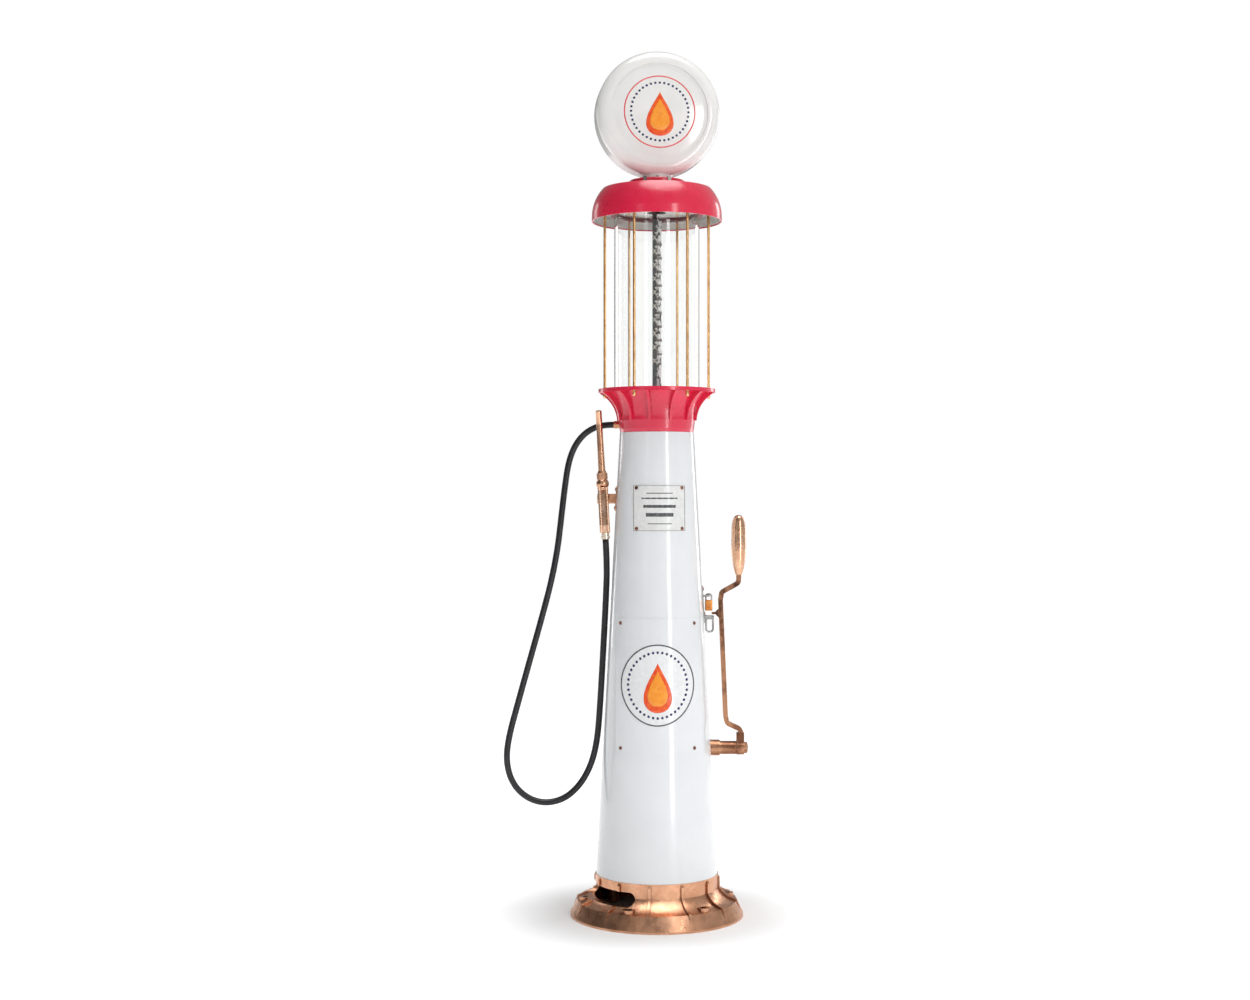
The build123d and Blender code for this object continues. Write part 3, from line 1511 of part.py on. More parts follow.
with BuildPart() as nozzle_trigger:
    for side in (-1, 1):
        rail_plane = Plane(
            origin=nozzle_centre + nozzle_right * side * trigger_rail_x, x_dir=(0, 1, 0), z_dir=nozzle_right
        )
        with BuildLine(rail_plane) as rail_path:
            FilletPolyline(*trigger_route, radius=14)
        with BuildSketch(Plane(origin=rail_path.line @ 0, x_dir=nozzle_right, z_dir=rail_path.line % 0)):
            Circle(trigger_rail_r)
        sweep(path=rail_path.line)
    with BuildSketch(nozzle_side):
        with BuildLine():
            FilletPolyline(*trigger_route[1:], radius=14)
        trace(line_width=3)
    extrude(amount=trigger_rail_x, both=True)
    with BuildSketch(nozzle_side.offset(-6.5)):
        with Locations((trigger_pivot_y, trigger_pivot_h - 6)):
            Rectangle(30, 22)
    extrude(amount=13, mode=Mode.SUBTRACT)
    with BuildSketch(nozzle_side.offset(-trigger_rail_x - trigger_rail_r - 1)):
        with Locations((trigger_pivot_y, trigger_pivot_h)):
            Circle(trigger_pin_r)
    extrude(amount=2 * (trigger_rail_x + trigger_rail_r + 1))

web_y = trigger_pivot_y + (stem_h - trigger_pivot_h + 6) * tan(trigger_slope)
stem_tip = -web_y - 1.5 - 0.8  # how far the stem's rounded tip stands in front of the body's axis

with BuildPart() as valve_stem:
    with BuildSketch(stem_plane.offset(5)):
        Circle(stem_r)
    extrude(amount=stem_tip - 5)
    fillet(valve_stem.faces().sort_by(Axis.Y)[0].edges(), stem_r - 0.3)

with BuildPart() as hose_ferrule:
    with BuildSketch(nozzle_plane(-190)):
        Circle(13.2)
    extrude(amount=190 + body_foot_h)
    with BuildSketch(nozzle_plane(-187)):
        Circle(15.5)
    extrude(amount=8)
    with BuildSketch(nozzle_plane(-190)):
        Circle(body_bore_r)
    extrude(amount=40, mode=Mode.SUBTRACT)

hook_low_z = hook_z - hook_height / 2
arm_outer = hook_arm_gap + hook_arm_thickness
arm_x = nozzle_x + (nozzle_z - hook_z) * tan(lean)  # the leaning nozzle's axis at the hook's height

with BuildPart() as nozzle_hook:
    add(wall_patch(-90, hook_z, hook_plate_width, hook_plate_height, 9, bracket_thickness))
    with BuildSketch(Plane.YZ.offset(-column_radius(hook_z) - 2)):
        with Locations((0, hook_z)):
            RectangleRounded(16, hook_height, 4)
    extrude(amount=arm_x + arm_outer - 3 + column_radius(hook_z) + 2)
    with BuildSketch(Plane.XY.offset(hook_low_z)):
        with Locations((arm_x, 4)):
            RectangleRounded(2 * arm_outer, 2 * arm_outer - 4, 10)
        with Locations((arm_x, 0)):
            Circle(hook_arm_gap, mode=Mode.SUBTRACT)
        with Locations((arm_x, -30)):
            Rectangle(2 * hook_arm_gap, 60, mode=Mode.SUBTRACT)
    extrude(amount=hook_height)
    with BuildSketch(Plane.YZ.offset(arm_x - arm_outer - 1)):
        with BuildLine():
            Polyline(
                (-30, hook_low_z - 2),
                (-2, hook_low_z - 2),
                (-18, hook_z + 6),
                (-30, hook_z + 6),
                close=True,
            )
        make_face()
    extrude(amount=2 * arm_outer + 2, mode=Mode.SUBTRACT)
    with Locations(*hook_screw_planes):
        add(screw_drill.part, mode=Mode.SUBTRACT)

with BuildPart() as bracket_screws:
    with Locations(*keeper_screw_planes, *hook_screw_planes):
        add(round_screw.part)

# ======================= hose =======================

hose_radii = tube_radii(hose_points)
hose_way = Vector(*hose_points[1]) - Vector(*hose_points[0])

with BuildPart() as hose:
    with BuildLine() as hose_path:
        FilletPolyline(*hose_points, radius=hose_radii)
    with BuildSketch(Plane(origin=hose_points[0], z_dir=hose_way)):
        Circle(hose_r)
    sweep(path=hose_path.line)

hose_length = sum(edge.length for edge in hose_path.line.edges())
print("hose length", round(hose_length), "radii", [round(r) for r in hose_radii])
print("hose volume over section times length", round(hose.part.volume / (pi * hose_r**2 * hose_length), 4))

pieces = {
    "base_casting": base_casting,
    "column_shell": column_shell,
    "access_door": access_door,
    "column_emblem": column_emblem,
    "name_plate": name_plate,
    "cover_screws": cover_screws,
    "crown_casting": crown_casting,
    "glass_cylinder": glass_cylinder,
    "glass_gasket_lower": glass_gasket_lower,
    "glass_gasket_upper": glass_gasket_upper,
    "cylinder_head": cylinder_head,
    "tie_rods": tie_rods,
    "rod_nuts_lower": rod_nuts_lower,
    "rod_nuts_upper": rod_nuts_upper,
    "dome_cap": dome_cap,
    "cap_liner": cap_liner,
    "globe_collar": globe_collar,
    "collar_clips": collar_clips,
    "globe_body": globe_body,
    "globe_lens_front": globe_lens_front,
    "globe_lens_rear": globe_lens_rear,
    "globe_bolts": globe_bolts,
    "lamp_socket": lamp_socket,
    "lamp_bulb": lamp_bulb,
    "gauge_strip": gauge_strip,
    "gauge_markers": gauge_markers,
    "gauge_clips": gauge_clips,
    "overflow_pipe": overflow_pipe,
    "delivery_pipe": delivery_pipe,
    "dispense_pipe": dispense_pipe,
    "suction_pipe": suction_pipe,
    "hose_outlet": hose_outlet,
    "pump_cylinder": pump_cylinder,
    "pump_head": pump_head,
    "pump_frame": pump_frame,
    "foot_valve": foot_valve,
    "foot_valve_disc": foot_valve_disc,
    "piston": piston,
    "piston_valve_disc": piston_valve_disc,
    "rack_rod": rack_rod,
    "pinion": pinion,
    "lever_shaft": lever_shaft,
    "shaft_bush": shaft_bush,
    "shaft_hub": shaft_hub,
    "lever_bar": lever_bar,
    "lever_grip": lever_grip,
    "shaft_nut": shaft_nut,
    "lever_keeper": lever_keeper,
    "bracket_screws": bracket_screws,
    "hasp_link": hasp_link,
    "padlock_shackle": padlock_shackle,
    "padlock_body": padlock_body,
    "nozzle_hook": nozzle_hook,
    "nozzle_body": nozzle_body,
    "spout_nut": spout_nut,
    "nozzle_spout": nozzle_spout,
    "nozzle_trigger": nozzle_trigger,
    "valve_stem": valve_stem,
    "hose_ferrule": hose_ferrule,
    "hose": hose,
}
for name, piece in pieces.items():
    piece.part.label = name
    export_step(piece.part, f"parts/{name}.step")
print(len(pieces), "nodes")
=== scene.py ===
import json
from math import cos, pi, radians, sin

import bpy
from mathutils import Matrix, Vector
from mathutils.bvhtree import BVHTree


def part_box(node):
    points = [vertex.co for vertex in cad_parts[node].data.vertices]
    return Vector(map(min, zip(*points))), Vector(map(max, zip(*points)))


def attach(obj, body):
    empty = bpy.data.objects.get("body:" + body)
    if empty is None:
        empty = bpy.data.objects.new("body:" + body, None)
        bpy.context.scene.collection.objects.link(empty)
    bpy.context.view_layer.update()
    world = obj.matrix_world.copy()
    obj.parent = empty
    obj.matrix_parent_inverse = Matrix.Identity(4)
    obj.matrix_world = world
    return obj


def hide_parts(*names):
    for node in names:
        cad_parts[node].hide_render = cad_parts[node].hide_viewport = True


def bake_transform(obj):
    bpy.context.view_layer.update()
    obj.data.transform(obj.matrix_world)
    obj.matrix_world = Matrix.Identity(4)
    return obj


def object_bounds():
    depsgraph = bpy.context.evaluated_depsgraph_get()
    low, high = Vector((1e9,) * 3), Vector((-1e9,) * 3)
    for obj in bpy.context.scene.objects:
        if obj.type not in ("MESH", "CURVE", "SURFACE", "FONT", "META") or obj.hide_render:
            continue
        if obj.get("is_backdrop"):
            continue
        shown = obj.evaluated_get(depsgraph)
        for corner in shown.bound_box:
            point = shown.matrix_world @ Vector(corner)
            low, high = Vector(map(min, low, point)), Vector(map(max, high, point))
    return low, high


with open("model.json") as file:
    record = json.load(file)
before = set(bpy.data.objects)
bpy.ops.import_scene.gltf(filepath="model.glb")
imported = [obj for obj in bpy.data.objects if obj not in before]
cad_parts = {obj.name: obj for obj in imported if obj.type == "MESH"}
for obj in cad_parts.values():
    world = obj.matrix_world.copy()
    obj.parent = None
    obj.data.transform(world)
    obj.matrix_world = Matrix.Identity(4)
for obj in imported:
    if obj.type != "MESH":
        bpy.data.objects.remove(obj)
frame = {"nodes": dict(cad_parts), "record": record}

cad_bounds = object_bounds()

# ---- the view, in metres ----
camera_place = (-0.1084, -5.995, 1.427)
camera_lens = 50.63
camera_shift_y = -0.004

# ---- the hose, in metres ----
hose_diameter = 0.0215
hose_sides = 40
hose_points = [
    (-0.1449, 0.0388, 1.6680),
    (-0.1824, 0.0489, 1.6680),
    (-0.2210, 0.0560, 1.6560),
    (-0.2550, 0.0590, 1.6320),
    (-0.2840, 0.0600, 1.5920),
    (-0.3040, 0.0570, 1.5350),
    (-0.3160, 0.0480, 1.4480),
    (-0.3270, 0.0360, 1.3500),
    (-0.3390, 0.0270, 1.2430),
    (-0.3600, 0.0190, 1.1330),
    (-0.3920, 0.0120, 1.0100),
    (-0.4330, 0.0070, 0.8640),
    (-0.4740, 0.0040, 0.7160),
    (-0.5060, 0.0020, 0.5980),
    (-0.5140, 0.0000, 0.5180),
    (-0.4940, -0.0010, 0.4460),
    (-0.4470, -0.0020, 0.3960),
    (-0.3830, -0.0020, 0.3750),
    (-0.3140, -0.0020, 0.3910),
    (-0.2600, -0.0010, 0.4400),
    (-0.2230, 0.0000, 0.5080),
    (-0.2030, 0.0000, 0.5900),
    (-0.1940, 0.0000, 0.7000),
    (-0.1860, 0.0000, 0.8380),
    (-0.1780, 0.0000, 0.9850),
    (-0.1720, 0.0000, 1.1100),
    (-0.1700, 0.0000, 1.1920),
    (-0.1747, 0.0000, 1.2762),
]

# ---- the artwork on the column, the globe and the plate, in metres ----
inlay_proud = 0.00025  # how far enamel artwork stands out of what it lies on
inlay_sunk = 0.0002
globe_turn = 7.0  # degrees that the globe is turned towards +X
globe_ring_r = 0.122
emblem_fill = 0.985  # the column emblem's ring as a share of its plate
emblem_beads = 40
plate_bearing = 3.0


# ======================= making meshes =======================


def piece_from(name, vertices, faces, material, body=None):
    """A smooth mesh object with one material, riding on a body."""
    mesh = bpy.data.meshes.new(name)
    mesh.from_pydata([tuple(v) for v in vertices], [], faces)
    mesh.validate()
    mesh.shade_smooth()
    piece = bpy.data.objects.new(name, mesh)
    bpy.context.scene.collection.objects.link(piece)
    mesh.materials.append(material)
    if body:
        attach(piece, body)
    return piece


def spline_line(points, resolution):
    """The points that a NURBS spline through a route's control points gives."""
    curve = bpy.data.curves.new("route", "CURVE")
    curve.dimensions = "3D"
    curve.resolution_u = resolution
    spline = curve.splines.new("NURBS")
    spline.points.add(len(points) - 1)
    for control, point in zip(spline.points, points):
        control.co = (*point, 1)
    spline.order_u = 3
    spline.use_endpoint_u = True
    carrier = bpy.data.objects.new("route", curve)
    bpy.context.scene.collection.objects.link(carrier)
    graph = bpy.context.evaluated_depsgraph_get()
    line = [v.co.copy() for v in bpy.data.meshes.new_from_object(carrier.evaluated_get(graph)).vertices]
    bpy.data.objects.remove(carrier)
    return line


def tube_mesh(line, radius, sides):
    """Vertices and quads of a round tube along a line, with closed ends and no twist."""
    vertices, faces = [], []
    across = (line[1] - line[0]).orthogonal().normalized()
    for k, centre in enumerate(line):
        along = (line[min(k + 1, len(line) - 1)] - line[max(k - 1, 0)]).normalized()
        across = (across - along * across.dot(along)).normalized()
        other = along.cross(across)
        for j in range(sides):
            turn = 2 * pi * j / sides
            vertices.append(centre + across * radius * cos(turn) + other * radius * sin(turn))
    for k in range(len(line) - 1):
        for j in range(sides):
            low, high = k * sides + j, k * sides + (j + 1) % sides
            faces.append((low, high, high + sides, low + sides))
    faces.append(tuple(range(sides))[::-1])
    faces.append(tuple(range(len(vertices) - sides, len(vertices))))
    return vertices, faces


# ======================= materials =======================


class Look:
    """A Principled material whose colour, roughness and relief vary over the object, in metres."""

    def __init__(self, name, **sockets):
        self.material = bpy.data.materials.new(name)
        self.material.use_nodes = True
        self.nodes = self.material.node_tree.nodes
        self.links = self.material.node_tree.links
        self.shader = self.nodes["Principled BSDF"]
        self.where = self.nodes.new("ShaderNodeTexCoord").outputs["Object"]
        self.relief = None
        for socket, value in sockets.items():
            self.shader.inputs[socket.replace("_", " ")].default_value = value

    def noise(self, size, stretch=(1, 1, 1), detail=4, roughness=0.55):
        """Cloudy noise whose blobs are about size metres wide, drawn out along an axis by stretch."""
        mapping = self.nodes.new("ShaderNodeMapping")
        mapping.inputs["Scale"].default_value = [1 / (size * s) for s in stretch]
        self.links.new(self.where, mapping.inputs["Vector"])
        texture = self.nodes.new("ShaderNodeTexNoise")
        texture.inputs["Scale"].default_value = 1.0
        texture.inputs["Detail"].default_value = detail
        texture.inputs["Roughness"].default_value = roughness
        self.links.new(mapping.outputs["Vector"], texture.inputs["Vector"])
        return texture.outputs["Fac"]

    def height(self):
        """The height of a point above the ground."""
        split = self.nodes.new("ShaderNodeSeparateXYZ")
        self.links.new(self.where, split.inputs["Vector"])
        return split.outputs["Z"]

    def crevice(self, reach):
        """0 in a corner and 1 on an open face, looking reach metres around."""
        node = self.nodes.new("ShaderNodeAmbientOcclusion")
        node.samples = 6
        node.only_local = True
        node.inputs["Distance"].default_value = reach
        return node.outputs["AO"]

    def edge(self, radius):
        """1 along sharp edges within radius metres, and 0 on flat faces."""
        bevel = self.nodes.new("ShaderNodeBevel")
        bevel.samples = 4
        bevel.inputs["Radius"].default_value = radius
        flat = self.nodes.new("ShaderNodeNewGeometry").outputs["Normal"]
        product = self.nodes.new("ShaderNodeVectorMath")
        product.operation = "DOT_PRODUCT"
        self.links.new(bevel.outputs["Normal"], product.inputs[0])
        self.links.new(flat, product.inputs[1])
        return self.level(product.outputs["Value"], 1, 0, 0.90, 0.995)

    def level(self, value, low, high, start=0.3, end=0.7):
        """A value that goes from low to high as another goes from start to end."""
        node = self.nodes.new("ShaderNodeMapRange")
        node.interpolation_type = "SMOOTHSTEP"
        node.inputs["From Min"].default_value = start
        node.inputs["From Max"].default_value = end
        node.inputs["To Min"].default_value = low
        node.inputs["To Max"].default_value = high
        self.links.new(value, node.inputs["Value"])
        return node.outputs["Result"]

    def times(self, first, second):
        node = self.nodes.new("ShaderNodeMath")
        node.operation = "MULTIPLY"
        self.links.new(first, node.inputs[0])
        self.links.new(second, node.inputs[1])
        return node.outputs["Value"]

    def mix(self, share, first, second):
        """One colour or colour output faded into another by a share from 0 to 1."""
        node = self.nodes.new("ShaderNodeMix")
        node.data_type = "RGBA"
        self.links.new(share, node.inputs[0])
        for socket, colour in ((node.inputs[6], first), (node.inputs[7], second)):
            if isinstance(colour, tuple):
                socket.default_value = (*colour, 1)
            else:
                self.links.new(colour, socket)
        return node.outputs[2]

    def colour(self, output):
        self.links.new(output, self.shader.inputs["Base Color"])
        return self

    def roughness(self, output):
        self.links.new(output, self.shader.inputs["Roughness"])
        return self

    def bump(self, height, depth):
        """Relief of a depth in metres, on top of any relief before it."""
        node = self.nodes.new("ShaderNodeBump")
        node.inputs["Distance"].default_value = depth
        self.links.new(height, node.inputs["Height"])
        if self.relief:
            self.links.new(self.relief, node.inputs["Normal"])
        self.relief = node.outputs["Normal"]
        self.links.new(self.relief, self.shader.inputs["Normal"])
        return self


def enamel(name, colour, tint, chip, gloss=(0.10, 0.22), coat=0.5):
    """Sprayed and baked enamel: orange peel, faint clouding and small chips along the edges."""
    look = Look(name, Coat_Weight=coat, Coat_Roughness=0.06)
    cloud = look.level(look.noise(0.16, detail=3), 0, 1)
    speck = look.level(look.noise(0.012, detail=6, roughness=0.7), 0, 1, 0.55, 0.62)
    worn = look.times(look.edge(0.0015), speck)
    look.colour(look.mix(worn, look.mix(cloud, colour, tint), chip))
    look.roughness(look.level(look.noise(0.05), *gloss))
    look.bump(look.noise(0.006, detail=2), 0.00009)
    look.bump(look.noise(0.09, detail=2), 0.0006)
    return look.material


def cast_metal(name, bright, middle, dark, gloss, grain=0.0016, depth=0.00012, reach=0.03):
    """Cast and plated metal: a satin skin, painted shade in the corners and bright rubbed edges."""
    look = Look(name, Metallic=1.0)
    patches = look.level(look.noise(0.07, detail=6, roughness=0.65), 0, 1, 0.35, 0.68)
    skin = look.mix(patches, middle, bright)
    # painted shade: the crevice (ambient occlusion) mask fades the skin to the dark colour in corners and
    # hollows
    shaded = look.mix(look.level(look.crevice(reach), 0, 1, 0.35, 0.85), dark, skin)
    rubbed = look.level(look.noise(0.02), 0.2, 0.8)
    look.colour(look.mix(look.times(look.edge(0.002), rubbed), shaded, bright))
    look.roughness(look.level(look.noise(0.03, detail=5), *gloss))
    look.bump(look.noise(grain, detail=3), depth)
    look.bump(look.noise(0.035, detail=2), 0.0009)
    return look.material


def turned_metal(name, bright, dark, gloss, stretch=(1, 1, 0.06), size=0.004, depth=0.00003):
    """Drawn or turned metal: fine marks along or round it, and faint tarnish."""
    look = Look(name, Metallic=1.0)
    tarnish = look.level(look.noise(0.03, detail=6), 0, 1, 0.4, 0.75)
    look.colour(look.mix(tarnish, bright, dark))
    look.roughness(look.level(look.noise(size * 4, stretch), *gloss))
    look.bump(look.noise(size, stretch, detail=3), depth)
    return look.material


def milk_glass():
    """Opal glass: a soft even white with faint clouding and a slightly wavy, glossy face."""
    look = Look("opal_glass", Subsurface_Weight=0.25, Coat_Weight=0.6, Coat_Roughness=0.05)
    look.shader.inputs["Subsurface Radius"].default_value = (0.012, 0.011, 0.009)
    cloud = look.level(look.noise(0.11, detail=4), 0, 1)
    look.colour(look.mix(cloud, (0.84, 0.83, 0.81), (0.79, 0.785, 0.77)))
    look.roughness(look.level(look.noise(0.04), 0.12, 0.24))
    look.bump(look.noise(0.05, detail=2), 0.0005)
    return look.material


def clear_glass(name, tint, rough):
    """Blown clear glass: gently wavy walls and a patchy dusting drawn out along its height."""
    look = Look(name, Transmission_Weight=1.0, IOR=1.47, Specular_IOR_Level=0.2)
    dust = look.level(look.noise(0.02, (1, 1, 4), detail=6), 0, 1, 0.5, 0.85)
    look.colour(look.mix(dust, tint, tuple(0.93 * c for c in tint)))
    look.roughness(look.level(look.noise(0.03, (1, 1, 3)), *rough))
    look.bump(look.noise(0.07, (1, 1, 6), detail=1), 0.0004)
    return look.material


def rubber(name, colour, tint, gloss, grain=0.0009, depth=0.00008):
    """Moulded rubber: matt, with fine grain and a dusty bloom."""
    look = Look(name, Specular_IOR_Level=0.45)
    bloom = look.level(look.noise(0.03, detail=6), 0, 1, 0.45, 0.8)
    look.colour(look.mix(bloom, colour, tint))
    look.roughness(look.level(look.noise(0.012, detail=5), *gloss))
    look.bump(look.noise(grain, detail=3), depth)
    return look.material


def porcelain(name, colour, tint, gloss=(0.15, 0.35)):
    """Fired enamel or glazed ware in a thin, even coat."""
    look = Look(name, Coat_Weight=0.3, Coat_Roughness=0.08)
    look.colour(look.mix(look.level(look.noise(0.015, detail=5), 0, 1), colour, tint))
    look.roughness(look.level(look.noise(0.02), *gloss))
    look.bump(look.noise(0.003, detail=2), 0.00004)
    return look.material


def speckled_pipe():
    """The pipe beside the gauge: pale plate with dark spots of tarnish along it."""
    look = Look("speckled_pipe", Metallic=0.35)
    spots = look.level(look.noise(0.011, (0.8, 0.8, 1.4), detail=3), 0, 1, 0.50, 0.56)
    look.colour(look.mix(spots, (0.80, 0.79, 0.78), (0.06, 0.05, 0.05)))
    look.roughness(look.level(look.noise(0.01), 0.25, 0.45))
    look.bump(look.noise(0.004, detail=3), 0.00005)
    return look.material


def hose_rubber():
    """Black hose rubber with the faint imprint of its cloth wrapping and a dull waxy sheen."""
    look = Look("hose_rubber", Specular_IOR_Level=0.5)
    bloom = look.level(look.noise(0.05, detail=6), 0, 1, 0.45, 0.85)
    look.colour(look.mix(bloom, (0.010, 0.009, 0.012), (0.030, 0.027, 0.034)))
    look.roughness(look.level(look.noise(0.03, detail=5), 0.30, 0.46))
    look.bump(look.noise(0.0012, detail=3), 0.00010)
    look.bump(look.noise(0.010, (1, 1, 0.35), detail=2), 0.00035)
    return look.material


def lever_paint():
    """The lever's copper plate, browned by handling towards its upper end."""
    look = Look("lever_bronze", Metallic=1.0)
    upward = look.level(look.height(), 0, 1, 0.62, 1.05)
    blotch = look.level(look.noise(0.05, (1, 1, 2.2), detail=6, roughness=0.7), 0, 1, 0.42, 0.62)
    fresh = look.mix(blotch, (0.50, 0.26, 0.15), (0.26, 0.115, 0.065))
    worn = look.mix(blotch, (0.42, 0.21, 0.12), (0.10, 0.045, 0.03))
    shaded = look.mix(upward, fresh, worn)
    look.colour(look.mix(look.edge(0.002), shaded, (0.66, 0.38, 0.24)))
    look.roughness(look.level(look.noise(0.02, detail=5), 0.26, 0.44))
    look.bump(look.noise(0.0015, detail=3), 0.00012)
    look.bump(look.noise(0.03, detail=2), 0.0006)
    return look.material


# each dark colour given to cast_metal is the painted shade for that metal's corners and hollows
copper = dict(bright=(0.78, 0.43, 0.27), middle=(0.60, 0.30, 0.175), dark=(0.20, 0.085, 0.05))
looks = {
    "copper_casting": cast_metal("copper_casting", gloss=(0.24, 0.38), **copper),
    "copper_fittings": cast_metal("copper_fittings", gloss=(0.25, 0.42), reach=0.012, **copper),
    "nozzle_copper": cast_metal(
        "nozzle_copper", (0.80, 0.47, 0.30), (0.56, 0.29, 0.175),
        (0.10, 0.045, 0.03), (0.20, 0.36), reach=0.012
    ),
    "trigger_metal": cast_metal(
        "trigger_metal", (0.90, 0.62, 0.46), (0.72, 0.42, 0.27),
        (0.06, 0.03, 0.025), (0.18, 0.34), reach=0.016
    ),
    "white_enamel": enamel("white_enamel", (0.80, 0.82, 0.84), (0.77, 0.79, 0.81), (0.30, 0.28, 0.26)),
    "red_enamel": enamel(
        "red_enamel", (0.74, 0.014, 0.062), (0.64, 0.010, 0.048), (0.16, 0.02, 0.02), (0.22, 0.36)
    ),
    "liner_enamel": enamel(
        "liner_enamel", (0.74, 0.73, 0.71), (0.66, 0.65, 0.63), (0.25, 0.22, 0.2), (0.2, 0.4), 0.2
    ),
    "emblem_plate": porcelain("emblem_white", (0.84, 0.85, 0.86), (0.80, 0.81, 0.82)),
    "plate_metal": porcelain("plate_enamel", (0.80, 0.81, 0.80), (0.72, 0.73, 0.72), (0.25, 0.4)),
    "dark_screws": turned_metal(
        "dark_screws", (0.36, 0.16, 0.11), (0.12, 0.055, 0.045), (0.28, 0.5), (1, 1, 1)
    ),
    "glass": clear_glass("clear_glass", (0.985, 0.995, 0.99), (0.0, 0.03)),
    "gasket_rubber": rubber("gasket_rubber", (0.20, 0.012, 0.018), (0.28, 0.03, 0.035), (0.4, 0.6)),
    "nickel": turned_metal(
        "nickel", (0.66, 0.64, 0.61), (0.44, 0.42, 0.40), (0.16, 0.34), (1, 1, 1), 0.003
    ),
    "gold_rods": turned_metal("gold_rods", (0.90, 0.56, 0.27), (0.70, 0.36, 0.15), (0.14, 0.28)),
    "milk_glass": milk_glass(),
    "lamp_parts": porcelain("lamp_porcelain", (0.78, 0.77, 0.73), (0.70, 0.68, 0.63)),
    "lamp_glass": clear_glass("lamp_glass", (0.98, 0.97, 0.94), (0.3, 0.45)),
    "gauge_black": porcelain("gauge_black", (0.010, 0.009, 0.010), (0.022, 0.018, 0.018), (0.22, 0.42)),
    "speckled_pipe": speckled_pipe(),
    "gauge_cream": porcelain("gauge_cream", (0.80, 0.76, 0.66), (0.70, 0.66, 0.55)),
    "gauge_clip": turned_metal(
        "gauge_clip", (0.20, 0.18, 0.17), (0.08, 0.07, 0.065), (0.3, 0.5), (1, 1, 1)
    ),
    "pipe_steel": turned_metal(
        "pipe_steel", (0.62, 0.62, 0.61), (0.42, 0.41, 0.40), (0.25, 0.45), (1, 1, 0.2), 0.006
    ),
    "ferrule_cream": turned_metal(
        "ferrule", (0.86, 0.74, 0.62), (0.60, 0.44, 0.32), (0.2, 0.4), (1, 1, 0.3), 0.003
    ),
    "pump_iron": cast_metal(
        "pump_iron", (0.30, 0.30, 0.31), (0.20, 0.20, 0.205), (0.05, 0.045, 0.04), (0.35, 0.55)
    ),
    "pump_brass": turned_metal(
        "pump_brass", (0.78, 0.58, 0.28), (0.55, 0.36, 0.15), (0.2, 0.38), (1, 1, 0.3)
    ),
    "machined_steel": turned_metal(
        "machined_steel", (0.58, 0.58, 0.58), (0.36, 0.34, 0.32), (0.16, 0.32), (0.08, 1, 1)
    ),
    "lever_bronze": lever_paint(),
    "grip_copper": cast_metal(
        "grip_copper", (0.86, 0.54, 0.36), (0.66, 0.36, 0.22), (0.2, 0.08, 0.05), (0.13, 0.26), depth=0.00005
    ),
    "lock_steel": turned_metal(
        "lock_steel", (0.50, 0.50, 0.50), (0.24, 0.23, 0.22), (0.22, 0.45), (1, 1, 1)
    ),
    "padlock_copper": turned_metal(
        "padlock_copper", (0.90, 0.36, 0.10), (0.62, 0.20, 0.05), (0.2, 0.36), (1, 1, 0.2)
    ),
    "hose_rubber": hose_rubber(),
    "navy": porcelain("navy_enamel", (0.012, 0.022, 0.09), (0.018, 0.030, 0.12)),
    "orange_red": porcelain("orange_red_enamel", (0.80, 0.055, 0.012), (0.90, 0.14, 0.012)),
    "orange": porcelain("orange_enamel", (0.92, 0.28, 0.02), (0.95, 0.36, 0.03)),
    "ring_grey": porcelain("ring_grey_enamel", (0.06, 0.065, 0.075), (0.10, 0.105, 0.115)),
    "ring_red": porcelain("ring_red_enamel", (0.72, 0.06, 0.07), (0.78, 0.10, 0.10)),
    "ink": porcelain("plate_ink", (0.07, 0.07, 0.075), (0.12, 0.12, 0.125)),
}
node_looks = {"lever_grip": "grip_copper", "overflow_pipe": "speckled_pipe"}
for part in frame["record"]["subparts"]:
    node = frame["nodes"][part["node"]]
    material = looks[node_looks.get(part["node"], part["material_slot"])]
    node.data.materials.clear()
    node.data.materials.append(material)


# ======================= camera =======================

camera = bpy.data.objects.new("camera", bpy.data.cameras.new("camera"))
bpy.context.scene.collection.objects.link(camera)
camera.location = camera_place
camera.rotation_euler = (radians(90), 0, 0)
camera.data.lens = camera_lens
camera.data.sensor_width = 36.0
camera.data.shift_y = camera_shift_y
camera.data.clip_end = 100.0
bpy.context.scene.camera = camera


# ======================= hose =======================

hose_line = spline_line(hose_points, 12)
hose = piece_from("rubber_hose", *tube_mesh(hose_line, hose_diameter / 2, hose_sides), looks["hose_rubber"])
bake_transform(hose)
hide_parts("hose")
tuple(hose_points[0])


# ======================= artwork =======================


def tree_of(*nodes):
    """A search tree over the meshes of some CAD nodes, for laying artwork on them."""
    vertices, faces = [], []
    for name in nodes:
        mesh = frame["nodes"][name].data
        first = len(vertices)
        vertices += [v.co.copy() for v in mesh.vertices]
        faces += [tuple(first + i for i in face.vertices) for face in mesh.polygons]
    return BVHTree.FromPolygons(vertices, faces)


def seen_from(tree, centre, turn, squeeze=1.0):
    """Places artwork on a face as seen from straight in front of it, narrowed by squeeze."""
    facing = Vector((sin(radians(turn)), -cos(radians(turn)), 0))
    right = Vector((cos(radians(turn)), sin(radians(turn)), 0))

    def place(across, up, lift):
        start = centre + facing + right * across * squeeze + Vector((0, 0, up))
        hit, normal, _, _ = tree.ray_cast(start, -facing)
        return hit + normal * lift

    return place


